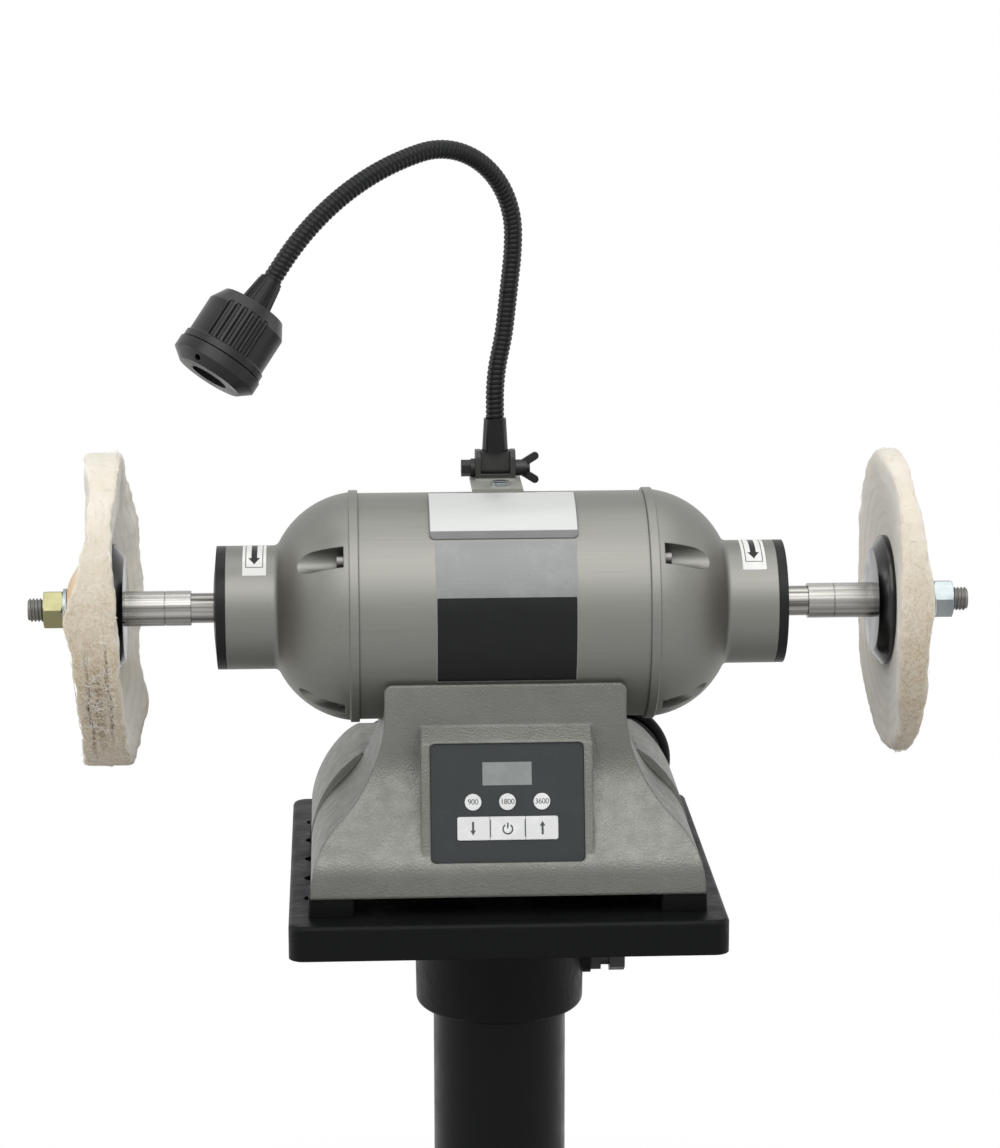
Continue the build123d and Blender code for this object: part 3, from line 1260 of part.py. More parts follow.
def cord_tie():
    top = HANK_Z + WAIST_SHARE * (R_OUT + R_MID) / 2 + CORD_R + TIE_CLEAR
    low = HANK_Z - WAIST_SHARE * (R_IN + R_MID) / 2 - CORD_R - TIE_CLEAR
    y0 = FRONT_Y - CORD_R - TIE_CLEAR
    y1 = REAR_Y + CORD_R + TIE_CLEAR
    place = Pos(WAIST_X + TIE_SHIFT, (y0 + y1) / 2, (low + top) / 2)
    inner = Rectangle(y1 - y0, top - low)
    outer = RectangleRounded(y1 - y0 + 2 * TIE_T, top - low + 2 * TIE_T, TIE_T)
    return place * Pos(-TIE_W / 2, 0, 0) * extrude(Plane.YZ * (outer - inner), TIE_W)


hank = hank_path()
print("hank least gap to itself", round(least_gap(hank, 3.0), 2))
save("strain_relief", MACHINE * strain_relief())
save("power_cord", MACHINE * tube(cord_path(ENTRY_POINTS)), MACHINE * tube(tail_path()))
save("cord_hank", MACHINE * tube(hank))
save("cord_tie", MACHINE * cord_tie())
save("plug", *[MACHINE * piece for piece in plug()])
save("lamp_bracket", MACHINE * lamp_bracket())
save("bracket_screw", MACHINE * bracket_screw())
save("lamp_clevis", MACHINE * lamp_clevis())
save("pivot_bolt", MACHINE * pivot_bolt())
save("wing_nut", MACHINE * wing_nut())
save("swivel_block", MACHINE * swivel_block())
save("lower_boot", MACHINE * lower_boot())
save("gooseneck_lower", MACHINE * ribbed_hose(LOWER_CHAIN, NECK_START))
save("gooseneck_upper", MACHINE * ribbed_hose(UPPER_CHAIN, NECK_SPLIT))
save("upper_boot", MACHINE * upper_boot())
save("lamp_housing", MACHINE * lamp_housing())
save("lamp_bezel", MACHINE * lamp_bezel())
save("lamp_lens", MACHINE * lamp_lens())
save("lamp_led_board", MACHINE * lamp_led_board())
save("lamp_switch", MACHINE * lamp_switch())

save("motor_shell", MACHINE * motor_shell())
bell = end_bell()
save("right_end_bell", MACHINE * bell)
save("left_end_bell", MACHINE * mirror(bell, Plane.YZ))
save("bell_screws", *[MACHINE * one for one in bell_screws()])
save("bearing_caps", *pair(bearing_cap()))
save("badge_plate", MACHINE * badge_plate())
save("stator_core", MACHINE * ring(STATOR_BORE_R, SHELL_BORE_R, -STATOR_HALF, STATOR_HALF))
save("stator_windings", *pair(ring(WINDING_IN_R, WINDING_OUT_R, STATOR_HALF, STATOR_HALF + WINDING_L)))
save("bearing_outer_races", *pair(race(OUTER_RACE_R, BEARING_R)))
save("bearing_inner_races", *pair(race(BEARING_BORE_R, INNER_RACE_R)))
save("bearing_balls", *[MACHINE * ball for ball in bearing_balls()])
save("spindle_shaft", MACHINE * spindle_shaft())
save("rotor", MACHINE * ring(CORE_SHAFT_R, ROTOR_R, -ROTOR_HALF, ROTOR_HALF))
save("wheel_spacers", *pair(wheel_spacer()))
save("inner_flanges", *pair(inner_flange()))
save("nut_washers", *pair(ring(ARBOR_R, NUT_WASHER_R, WHEEL_X1, NUT_X)))
save("left_wheel", MACHINE * mirror(cotton_wheel(LEFT_RIM_T, LEFT_LEAN), Plane.YZ))
save("right_wheel", MACHINE * cotton_wheel(RIGHT_RIM_T, RIGHT_LEAN))
nut = arbor_nut()
save("right_nut", MACHINE * nut)
save("left_nut", MACHINE * mirror(nut, Plane.YZ))

save("floor_base", floor_base())
save("column", column())
save("stand_head", stand_head())
save("head_set_bolt", *head_set_bolt())
save("mounting_bolts", *[MACHINE * one for one in mounting_bolts()])
save("rubber_feet", *[MACHINE * one for one in rubber_feet()])
save("base_casting", MACHINE * base_casting())
save("base_bottom_cover", MACHINE * base_bottom_cover())
save("motor_bolts", *[MACHINE * one for one in motor_bolts()])
save("control_panel", MACHINE * control_panel())
save("display_window", MACHINE * display_window())
save("control_board", MACHINE * control_board())
save("drive_unit", MACHINE * drive_unit())
for name, u in ROUND_KEYS:
    save(name, MACHINE * round_key(u))
for name, u, width in BAR_KEYS:
    save(name, MACHINE * bar_key(u, width))
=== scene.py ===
"""Buffing machine on a pedestal with a work lamp: finishes, soft pieces, light and camera."""
import cmath
import math
import random

import bmesh
import bpy
from mathutils import Matrix, Vector, noise


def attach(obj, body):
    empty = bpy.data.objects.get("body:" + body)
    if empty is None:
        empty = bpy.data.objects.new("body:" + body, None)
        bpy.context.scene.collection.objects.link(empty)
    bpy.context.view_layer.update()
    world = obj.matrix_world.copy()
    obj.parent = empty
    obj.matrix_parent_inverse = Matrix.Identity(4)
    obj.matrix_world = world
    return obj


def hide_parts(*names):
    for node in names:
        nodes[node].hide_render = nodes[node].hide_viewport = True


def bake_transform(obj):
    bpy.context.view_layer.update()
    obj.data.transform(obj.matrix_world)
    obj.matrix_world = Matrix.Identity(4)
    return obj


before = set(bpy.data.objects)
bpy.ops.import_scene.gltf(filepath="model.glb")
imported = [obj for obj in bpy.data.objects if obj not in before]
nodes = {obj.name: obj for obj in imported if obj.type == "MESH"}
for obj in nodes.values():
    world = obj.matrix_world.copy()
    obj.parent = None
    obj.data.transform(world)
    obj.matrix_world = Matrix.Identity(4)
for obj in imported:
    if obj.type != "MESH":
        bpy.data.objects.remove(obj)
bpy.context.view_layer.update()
scene = bpy.context.scene

# The machine's own places are in millimetres from the middle of the spindle
MM = 0.001
SPINDLE_Y = -28
SPINDLE_Z = 1004


def spot(x, y, z):
    """A place on the machine, in metres in the part's frame."""
    return Vector((x, y + SPINDLE_Y, z + SPINDLE_Z)) * MM


def round_spot(x, r, angle):
    """A place at a radius from the spindle's axis; the angle runs from the crown towards the front."""
    return spot(x, -r * math.sin(angle), r * math.cos(angle))


def place_object(name, data):
    made = bpy.data.objects.new(name, data)
    scene.collection.objects.link(made)
    return made


def enrol(piece, body, slot, *stands_for):
    """Attaches a piece to its body, if it has one, and hides the nodes that it stands for."""
    if body:
        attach(piece, body)
    if stands_for:
        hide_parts(*stands_for)
    return piece


# Camera: place in metres, lens and sensor in millimetres
CAMERA_PLACE = (-0.1052, -2.2207, 1.5037)
CAMERA_AHEAD = Vector((0.0467, 0.9759, -0.2132))
CAMERA_UP = Vector((0.01211, 0.21283, 0.97701))
CAMERA_LENS = 121.2
CAMERA_SENSOR = 36
CAMERA_REACH = 50


def add_camera():
    data = bpy.data.cameras.new("camera")
    data.sensor_fit = "HORIZONTAL"
    data.sensor_width = CAMERA_SENSOR
    data.lens = CAMERA_LENS
    data.clip_end = CAMERA_REACH
    back = -CAMERA_AHEAD.normalized()
    right = CAMERA_UP.cross(back).normalized()
    turn = Matrix((right, back.cross(right), back)).transposed()
    camera = place_object("camera", data)
    camera.matrix_world = Matrix.Translation(CAMERA_PLACE) @ turn.to_4x4()
    scene.camera = camera


# Mains cord: control points from the strain relief through the hank to the plug
CORD_R = 4.75
CORD_RINGS = 8
CORD_STEPS = 8
CORD_Z = -178.95
HANK_Z = -141.95
FRONT_Y = 109
REAR_Y = 119.2
WAIST_X = 10
WAIST_SHARE = 0.9
WAIST_LEAD = 17
RUN_LEAD = 26
R_OUT = 37
R_MID = 30.75
R_IN = 24.5
FOLD_STEP = math.radians(30)
FOLD_POINTS = 6
# Folds climb at the right (+1) and fall at the left (-1): side, place across and radius
FOLD_X = {1: 85, -1: -65}
FOLDS = [(1, REAR_Y, R_OUT), (-1, REAR_Y, R_MID), (1, REAR_Y, R_IN), (-1, FRONT_Y, R_IN), (1, FRONT_Y, R_MID)]
RELIEF_TIP = (-113, 119, -160)
PLUG_NECK = (-0.5, 82, -91.7)
ENTRY_POINTS = [
    RELIEF_TIP, (-113, 138, -160), (-104, 156, -163.5), (-88.5, 168.5, -169),
    (-69, 173, -174.5), (-47.5, 168.5, -178), (-26.5, 153.5, CORD_Z), (-8, 134.5, CORD_Z),
    (13, REAR_Y, CORD_Z), (45, REAR_Y, CORD_Z),
]
END_POINTS = [(56.5, FRONT_Y, HANK_Z + R_MID), (18.5, PLUG_NECK[1], PLUG_NECK[2]), PLUG_NECK]


def fold_points(side, y, radius):
    """Control points of half a turn."""
    reach = radius / math.cos(FOLD_STEP / 2)
    points = []
    for k in range(FOLD_POINTS):
        angle = side * (k - (FOLD_POINTS - 1) / 2) * FOLD_STEP
        points.append((FOLD_X[side] + side * reach * math.cos(angle), y, HANK_Z + reach * math.sin(angle)))
    return points


def run_points(fold, following):
    """Control points of the run between two folds, drawn in at the waist."""
    side, y0, r0 = fold
    other, y1, r1 = following
    waist_z = HANK_Z + side * WAIST_SHARE * (r0 + r1) / 2
    return [
        (FOLD_X[side] - side * RUN_LEAD, y0, HANK_Z + side * r0),
        (WAIST_X + side * WAIST_LEAD, y1, waist_z),
        (WAIST_X - side * WAIST_LEAD, y1, waist_z),
        (FOLD_X[other] + side * RUN_LEAD, y1, HANK_Z + side * r1),
    ]


def cord_points():
    points = ENTRY_POINTS + fold_points(*FOLDS[0])
    for fold, following in zip(FOLDS, FOLDS[1:]):
        points += run_points(fold, following) + fold_points(*following)
    return points + END_POINTS


def new_tubes(name, rings):
    """A curve whose splines become round tubes with closed ends."""
    curve = bpy.data.curves.new(name, "CURVE")
    curve.dimensions = "3D"
    curve.bevel_depth = 1
    curve.bevel_resolution = rings
    curve.use_fill_caps = True
    return curve


def add_tube(curve, places, radius, steps):
    """Adds one smooth tube with the places as its control points."""
    spline = curve.splines.new("NURBS")
    spline.points.add(len(places) - 1)
    for point, place in zip(spline.points, places):
        point.co = (*place, 1)
        point.radius = radius * MM
    spline.order_u = 3
    spline.use_endpoint_u = True
    spline.resolution_u = steps


def add_cord():
    curve = new_tubes("mains_cord", CORD_RINGS)
    add_tube(curve, [spot(*point) for point in cord_points()], CORD_R, CORD_STEPS)
    cord = place_object("mains_cord", curve)
    enrol(cord, "machine", "rubber", "power_cord", "cord_hank")
    return cord


# Meshes
JOIN_REACH = 1e-6
FLAT_REACH = 1e-7
SHARP_ANGLE = math.radians(35)


def new_mesh(name, points, faces, smooth=True):
    """A new object from points in metres."""
    mesh = bpy.data.meshes.new(name)
    mesh.from_pydata(points, [], faces)
    mesh.update()
    if smooth:
        mesh.shade_smooth()
    return place_object(name, mesh)


def new_solid(name, points, faces, smooth=True):
    """A new object whose coinciding points are joined and whose faces all look outwards."""
    piece = new_mesh(name, points, faces, smooth)
    work = bmesh.new()
    work.from_mesh(piece.data)
    bmesh.ops.remove_doubles(work, verts=work.verts, dist=JOIN_REACH)
    bmesh.ops.dissolve_degenerate(work, edges=work.edges, dist=FLAT_REACH)
    bmesh.ops.recalc_face_normals(work, faces=work.faces)
    work.to_mesh(piece.data)
    work.free()
    return piece


def shown_mesh(piece):
    """A piece's mesh as its modifiers leave it, or the mesh of a text."""
    return bpy.data.meshes.new_from_object(piece.evaluated_get(bpy.context.evaluated_depsgraph_get()))


def sharpen(piece):
    piece.data.set_sharp_from_angle(angle=SHARP_ANGLE)


def grid_faces(rows, columns, closed):
    """Quads between closed rows of points; closed also joins the last row to the first."""
    faces = []
    for i in range(rows if closed else rows - 1):
        a = i * columns
        b = (i + 1) % rows * columns
        for j in range(columns):
            k = (j + 1) % columns
            faces.append((a + j, a + k, b + k, b + j))
    return faces


def winding_faces(rows, sides, pitch_rows):
    """Quads of a winding, whose last column meets the first one a pitch further on."""
    faces = []
    for i in range(rows - 1):
        for a in range(i * sides, (i + 1) * sides - 1):
            faces.append((a, a + 1, a + sides + 1, a + sides))
    for i in range(rows - 1 - pitch_rows):
        a = (i + 1) * sides - 1
        b = (i + pitch_rows) * sides
        faces.append((a, b, b + sides, a + sides))
    return faces


def prism_faces(start, count):
    """Faces of a prism whose two outlines follow each other from a starting point."""
    faces = [tuple(range(start, start + count)), tuple(range(start + 2 * count - 1, start + count - 1, -1))]
    for j in range(count):
        a = start + j
        b = start + (j + 1) % count
        faces.append((a, a + count, b + count, b))
    return faces


def revolve(section, sides, side, start=0):
    """Points and faces of a closed section of (distance along X, radius), turned round the spindle."""
    turns = [2 * math.pi * j / sides for j in range(sides)]
    points = [round_spot(side * x, r, -turn) for turn in turns for x, r in section]
    faces = [tuple(start + k for k in face) for face in grid_faces(sides, len(section), True)]
    return points, faces


# Gooseneck: a wound, ribbed hose in two lengths; each step is (turn in degrees, radius) or (0, length)
NECK_FOOT = (-1.5, 42, 119)
NECK_AZIMUTH = math.radians(210)
LOWER_CHAIN = [(0, 13), (-15.2, 121), (7.6, 162.5), (0, 18.15)]
UPPER_CHAIN = [(0, 18.15), (7.6, 162.5), (76.7, 59.1), (25.9, 57.6), (38.9, 186), (0, 13)]
HOSE_R = 6.25
HOSE_ROOT_R = 5.7
LOWER_RIBS = 26
UPPER_RIBS = 86
HOSE_SIDES = 40
# A rib as (share of the pitch, share of its rise)
RIB_SHAPE = [(0, 0), (0.08, 0.55), (0.2, 0.9), (0.42, 1), (0.64, 0.9), (0.76, 0.55), (0.84, 0)]


def step_length(turn, size):
    return abs(math.radians(turn)) * size if turn else size


def chain_length(chain):
    return sum(step_length(*step) for step in chain)


def walk(chain, start, travel):
    """Place and lean after some travel along a chain, in the hose's own upright plane."""
    h, z, lean = start
    for turn, size in chain:
        part = min(travel, step_length(turn, size))
        bend = part / math.copysign(size, turn) if turn else 0
        chord = 2 * size * math.sin(abs(bend) / 2) if turn else part
        h += chord * math.sin(lean + bend / 2)
        z += chord * math.cos(lean + bend / 2)
        lean += bend
        travel -= part
    return h, z, lean


def neck_spot(h, z):
    x = NECK_FOOT[0] + h * math.cos(NECK_AZIMUTH)
    y = NECK_FOOT[1] + h * math.sin(NECK_AZIMUTH)
    return spot(x, y, NECK_FOOT[2] + z)


def add_hose(name, chain, start, ribs, node):
    total = chain_length(chain)
    ahead = Vector((math.cos(NECK_AZIMUTH), math.sin(NECK_AZIMUTH), 0))
    across = Vector((-math.sin(NECK_AZIMUTH), math.cos(NECK_AZIMUTH), 0))
    rows = [(rib + share, rise) for rib in range(-1, ribs + 1) for share, rise in RIB_SHAPE]
    points = []
    for climb, rise in rows:
        radius = (HOSE_ROOT_R + (HOSE_R - HOSE_ROOT_R) * rise) * MM
        for j in range(HOSE_SIDES):
            turn = j / HOSE_SIDES
            travel = min(max((climb + turn) * total / ribs, 0), total)
            h, z, lean = walk(chain, start, travel)
            side = math.cos(lean) * ahead - Vector((0, 0, math.sin(lean)))
            angle = 2 * math.pi * turn
            points.append(neck_spot(h, z) + radius * (math.cos(angle) * side + math.sin(angle) * across))
    faces = winding_faces(len(rows), HOSE_SIDES, len(RIB_SHAPE))
    return enrol(new_mesh(name, points, faces), None, "hose_black", node)


def add_gooseneck():
    start = (0, 0, 0)
    middle = walk(LOWER_CHAIN, start, chain_length(LOWER_CHAIN))
    end = walk(UPPER_CHAIN, middle, chain_length(UPPER_CHAIN))
    lower = add_hose("gooseneck_hose_lower", LOWER_CHAIN, start, LOWER_RIBS, "gooseneck_lower")
    upper = add_hose("gooseneck_hose_upper", UPPER_CHAIN, middle, UPPER_RIBS, "gooseneck_upper")
    neck_spot(*middle[:2])
    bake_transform(lower)
    neck_spot(*middle[:2])
    neck_spot(*end[:2])
    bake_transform(upper)
    return [lower, upper]


# Cotton wheels: clamped at the hub, swollen at the nut and spread at the rim
HUB_R = 8.6
CLAMP_R = 45
CLAMP_X0 = 259.7
SWELL_R = 13
SWELL_END_R = 42
SWELL_X = 287.7
PLAIN_X = 276
FLARE_R = 92
WHEEL_SIDES = 540
FACE_ROWS = 44
TREAD_ROWS = 96
# Noise over a wheel as (fade, step, layers), and its rate per millimetre
NOISE_SPREAD = 14
RIPPLE_NOISE = (0.6, 2, 3)
RIPPLE_RATE = 0.05
FUZZ_NOISE = (0.8, 2.2, 4)
FUZZ_RATE = 0.9
# Stitch rings, plies, slits and wear
STITCH_WANDER = 1.2
QUILT_FADE = (84, 95)
TREAD_SHARE = 0.75
PLY_WANDER = 0.9
PLY_RATE = 3
PLY_DRIFT = 0.7
SLIT_WIDTH = 0.7
SLIT_WANDER = 0.9
SLIT_RATE = 0.06
SLIT_DRIFT = 9
WORN_RATE = 2
WORN_SHIFT = 5
# Both edges of the rim by angle in degrees (0 at the top, 90 at the front), as distances along X
LEFT_RIM = [
    (-165, 244.5, 275), (-143, 240.5, 270), (-118, 247.5, 272), (-95, 244, 275), (-70, 246, 271),
    (-40, 251.5, 274), (0, 250, 274), (30, 250.5, 268.5), (50, 253, 269), (66, 251.5, 274.5),
    (82, 249.5, 283), (95, 248.5, 278), (112, 248.5, 276), (134, 247, 274.5), (158, 245, 277.5),
]
RIGHT_RIM = [
    (-160, 257.5, 273), (-125, 255, 272), (-95, 255.5, 274), (-60, 254, 271), (-25, 253, 270),
    (5, 252.5, 268.5), (30, 256, 268.5), (55, 255, 272), (80, 253, 276), (97, 252.5, 272.5),
    (115, 254.5, 273.5), (140, 259, 273), (168, 259.5, 273),
]
# Slits as (share of the width, first angle, last angle, depth); loose threads gather between spans' angles
LEFT_SLITS = [(0.25, 88, 135, 6), (0.5, 95, 140, 5), (0.72, 92, 150, 5.5), (0.4, 20, 60, 2),
              (0.6, -80, -20, 4), (0.3, -150, -100, 5)]
RIGHT_SLITS = [(0.5, -60, 0, 1.6)]
LEFT_LOOK = {
    "rim": LEFT_RIM, "rim_r": 104, "edge": 3.6, "flare": 0.42, "ripple": 1.6, "stitch": 7, "quilt": 0.35,
    "ply": 1.35, "groove": 0.7, "fuzz": 0.35, "worn": 0.9, "slits": LEFT_SLITS, "seed": 3.7,
    "strands": 420, "spans": [(70, 165), (88, 140), (95, 130), (-180, 180)], "draw": 11,
}
RIGHT_LOOK = {
    "rim": RIGHT_RIM, "rim_r": 101.6, "edge": 6.5, "flare": 0.72, "ripple": 0.8, "stitch": 6.2, "quilt": 0.55,
    "ply": 0.95, "groove": 0.35, "fuzz": 0.4, "worn": 0.6, "slits": RIGHT_SLITS, "seed": 9.1,
    "strands": 150, "spans": [(80, 170), (-180, 180)], "draw": 12,
}
SIDES = [("left", -1), ("right", 1)]
LOOKS = {-1: LEFT_LOOK, 1: RIGHT_LOOK}


def smooth_step(value, low, high):
    share = min(max((value - low) / (high - low), 0), 1)
    return share * share * (3 - 2 * share)


def rim_edges(table, angle):
    """Both edges of the rim at an angle, smooth between the table's rows."""
    for a, b in zip(table, table[1:] + table[:1]):
        span = (b[0] - a[0]) % 360
        past = (angle - a[0]) % 360
        if past < span:
            share = smooth_step(past, 0, span)
            return a[1] + (b[1] - a[1]) * share, a[2] + (b[2] - a[2]) * share
    return table[0][1:]


def ring_noise(angle, rate, shift):
    around = math.radians(angle)
    return noise.noise(Vector((math.cos(around) * rate, math.sin(around) * rate, shift)))


def wheel_section(look):
    """Rows from a wheel's inner face over the tread to the outer, as (side from -1 to 1, radius)."""
    edge = look["edge"]
    shoulder = look["rim_r"] - edge
    radii = [HUB_R + (shoulder - HUB_R) * k / (FACE_ROWS - 1) for k in range(FACE_ROWS)]
    rows = [(-1, radius) for radius in radii]
    for k in range(1, TREAD_ROWS):
        turn = math.pi * k / TREAD_ROWS
        side = -math.copysign(abs(math.cos(turn)) ** look["flare"], math.cos(turn))
        rows.append((side, shoulder + edge * math.sin(turn) ** look["flare"]))
    return rows + [(1, radius) for radius in reversed(radii)]


def tread_cut(look, angle, side, width, place):
    """How far plies, fuzz, slits and wear take the tread in."""
    seed = look["seed"]
    spread = 0.5 + 0.5 * side
    wander = PLY_WANDER * ring_noise(angle, PLY_RATE, seed + side * PLY_DRIFT)
    ply = abs(math.sin(math.pi * (spread * width / look["ply"] + wander)))
    fuzz = noise.fractal(place * FUZZ_RATE, *FUZZ_NOISE)
    cut = look["groove"] * (1 - ply) ** 3 * (0.5 + 0.5 * fuzz) - look["fuzz"] * fuzz
    for share, start, end, depth in look["slits"]:
        reach = max(0, 1 - ((angle - (start + end) / 2) / ((end - start) / 2)) ** 2)
        stray = noise.noise(Vector((angle * SLIT_RATE, share * SLIT_DRIFT, seed)))
        gap = (spread - share) * width + SLIT_WANDER * stray
        cut += depth * reach * math.exp(-(gap / SLIT_WIDTH) ** 2)
    return cut - look["worn"] * ring_noise(angle, WORN_RATE, seed + WORN_SHIFT)


def wheel_point(look, angle, side, radius):
    """One point of a wheel as (distance along X, radius)."""
    around = math.radians(angle)
    inner, outer = rim_edges(look["rim"], angle)
    open_share = smooth_step(radius, CLAMP_R, FLARE_R)
    low = CLAMP_X0 + (inner - CLAMP_X0) * open_share
    swell = (SWELL_X - PLAIN_X) * (1 - smooth_step(radius, SWELL_R, SWELL_END_R))
    high = PLAIN_X + swell + (outer - PLAIN_X) * smooth_step(radius, SWELL_R, FLARE_R)
    depth = side * NOISE_SPREAD + look["seed"]
    place = Vector((math.cos(around) * radius, math.sin(around) * radius, depth))
    ripple = noise.fractal(place * RIPPLE_RATE, *RIPPLE_NOISE) * open_share
    x = low + (high - low) * (0.5 + 0.5 * side) + ripple * look["ripple"]
    # Stitch rings draw the faces in
    if abs(side) == 1 and radius > CLAMP_R:
        ring = abs(math.sin(math.pi * (radius + STITCH_WANDER * ripple) / look["stitch"]))
        x -= side * look["quilt"] * (1 - ring) ** 2 * (1 - smooth_step(radius, *QUILT_FADE))
    tread = smooth_step(radius, look["rim_r"] - look["edge"] * TREAD_SHARE, look["rim_r"])
    radius -= tread * tread_cut(look, angle, side, high - low, place)
    return x, min(radius, look["rim_r"])


def add_wheel(name, side):
    look = LOOKS[side]
    rows = wheel_section(look)
    points = []
    for j in range(WHEEL_SIDES):
        angle = 360 * j / WHEEL_SIDES - 180
        for share, radius in rows:
            x, r = wheel_point(look, angle, share, radius)
            points.append(round_spot(side * x, r, math.radians(angle)))
    faces = grid_faces(WHEEL_SIDES, len(rows), True)
    if side > 0:
        faces = [face[::-1] for face in faces]
    return enrol(new_mesh(name + "_buff", points, faces), "spindle", "cotton", name + "_wheel")


# Loose threads on the worn tread: sizes in millimetres, places across as shares of half the width
STRAND_R = 0.18
STRAND_RINGS = 1
STRAND_STEPS = 4
STRAND_POINTS = 6
STRAND_EDGE = 0.95
STRAND_OVER = 1.05
STRAND_PACE = (0.8, 2.4)
STRAND_TURN = 0.8
STRAND_AHEAD = 0.9
STRAND_ACROSS = 0.09
STRAND_LIFT = (0.1, 0.5)
STRAND_RISE = (-0.2, 0.5)
STRAND_BED = 0.5
STRAND_TOP = 1.5
CROWN_POWER = 6


def strand_places(rng, side, look):
    """Control points of one thread."""
    start, end = look["spans"][rng.randrange(len(look["spans"]))]
    angle = rng.uniform(start, end)
    share = rng.uniform(-STRAND_EDGE, STRAND_EDGE)
    heading = rng.uniform(-math.pi, math.pi)
    pace = rng.uniform(*STRAND_PACE)
    lift = rng.uniform(*STRAND_LIFT)
    places = []
    for _ in range(STRAND_POINTS):
        inner, outer = rim_edges(look["rim"], angle)
        x = inner + (outer - inner) * (0.5 + 0.5 * share)
        crown = look["edge"] * (1 - math.sqrt(max(0, 1 - min(abs(share), 1) ** CROWN_POWER)))
        r = look["rim_r"] + min(lift - crown - STRAND_BED, STRAND_TOP)
        places.append(round_spot(side * x, r, math.radians(angle)))
        heading += rng.uniform(-STRAND_TURN, STRAND_TURN)
        angle += pace * math.cos(heading) * STRAND_AHEAD
        share += pace * math.sin(heading) * STRAND_ACROSS
        share = min(max(share, -STRAND_OVER), STRAND_OVER)
        lift += rng.uniform(*STRAND_RISE)
    return places


def add_strands(name, side):
    look = LOOKS[side]
    rng = random.Random(look["draw"])
    curve = new_tubes(name + "_threads", STRAND_RINGS)
    for _ in range(look["strands"]):
        add_tube(curve, strand_places(rng, side, look), STRAND_R, STRAND_STEPS)
    return enrol(place_object(name + "_threads", curve), "spindle", "cotton")


# Spindle: a stepped bar, as (distance along X, radius), with a wound thread at each end
BAR_STEPS = [(157.5, 14), (157.5, 12.5), (172.5, 12.5), (172.5, 10), (206, 10), (206, 7.93),
             (257, 7.93)]
BAR_SIDES = 64
THREAD_START = 256
THREAD_END = 314
THREAD_R = 7.93
THREAD_ROOT_R = 6.8
THREAD_PITCH = 2.309
THREAD_CHAMFER = 1.3
# A turn of the thread as (share of the pitch, share of its rise)
THREAD_SHAPE = [(0, 0), (0.16, 0), (0.48, 1), (0.62, 1), (0.94, 0)]


def bar_spot(x, r, j):
    return round_spot(x, r, -2 * math.pi * j / BAR_SIDES)


def close_ends(points, faces, first, last):
    """Adds a middle point and a fan of faces at both ends of a tube of rings."""
    for x, start, flip in ((first, 0, True), (last, len(points) - BAR_SIDES, False)):
        middle = len(points)
        points.append(spot(x, 0, 0))
        for j in range(BAR_SIDES):
            fan = (start + j, start + (j + 1) % BAR_SIDES, middle)
            faces.append(fan[::-1] if flip else fan)


def add_spindle_bar():
    steps = [(-x, r) for x, r in reversed(BAR_STEPS)] + BAR_STEPS
    points = [bar_spot(x, r, j) for x, r in steps for j in range(BAR_SIDES)]
    faces = grid_faces(len(steps), BAR_SIDES, False)
    close_ends(points, faces, steps[0][0], steps[-1][0])
    bar = new_solid("spindle_bar", points, faces)
    sharpen(bar)
    return enrol(bar, "spindle", "steel", "spindle_shaft")


def thread_ring(travel, rise, side):
    """Points of one row of the winding, which is cut off at both ends."""
    ring = []
    for j in range(BAR_SIDES):
        x = THREAD_START + (travel + j / BAR_SIDES) * THREAD_PITCH
        x = min(max(x, THREAD_START), THREAD_END)
        r = THREAD_ROOT_R + (THREAD_R - THREAD_ROOT_R) * (rise if x > THREAD_START else 0)
        r = min(r, THREAD_R - max(0, x - THREAD_END + THREAD_CHAMFER))
        ring.append(bar_spot(side * x, r, j))
    return ring


def add_thread(name, side):
    turns = math.ceil((THREAD_END - THREAD_START) / THREAD_PITCH)
    rows = [(k + share, rise) for k in range(-1, turns + 1) for share, rise in THREAD_SHAPE]
    points = [point for travel, rise in rows for point in thread_ring(travel, rise, side)]
    faces = winding_faces(len(rows), BAR_SIDES, len(THREAD_SHAPE))
    # Each face the other way round, from the same first point
    faces = [(face[0], *face[:0:-1]) for face in faces]
    close_ends(points, faces, side * THREAD_START, side * THREAD_END)
    return enrol(new_solid(name + "_screw_thread", points, faces), "spindle", "steel")


# Flange discs behind the wheels: half a section as (distance along X, radius)
DISC_BORE_R = 11.8
DISC_SECTION = [(259.4, DISC_BORE_R), (259.4, 43.2), (259.1, 43.5), (256.2, 43.5), (255.7, 43.3),
                (250, 35), (249.6, 34.4), (249.5, 33.8), (249.5, DISC_BORE_R)]
DISC_SIDES = 180


def add_flange_discs():
    points = []
    faces = []
    for side in (-1, 1):
        ring_points, ring_faces = revolve(DISC_SECTION, DISC_SIDES, side, len(points))
        points += ring_points
        faces += ring_faces
    discs = new_solid("flange_discs", points, faces)
    sharpen(discs)
    return enrol(discs, "spindle", "blackened_steel", "inner_flanges")


# End bells: half a section as (distance along X, radius), and pockets for the screws, open outwards
DOME_START = (101, 76)
DOME_BOW = (134.4, 60.4)
DOME_END = (148.4, 41.2)
DOME_ROWS = 40
DOME_SHARE = 0.95
FILLET_END = (151.4, 41.2)
FILLET_ROWS = 6
BELL_REST = [(182.2, 41.2), (182.6, 40.8), (182.6, 26), (157.5, 26), (157.5, 22), (153.5, 22),
             (129.4, 50.4), (101, 57), (88.8, 57), (88.8, 62), (94.8, 62), (94.8, 77),
             (95.2, 77.4), (100.6, 77.4), (101, 77)]
BELL_SIDES = 240
POCKET_R = 7.5
POCKET_AT = 67.5
POCKET_TOP = 85
POCKET_X = (104.5, 160)
POCKET_TILT = 38
POCKET_COUNT = 4
POCKET_STEPS = 24


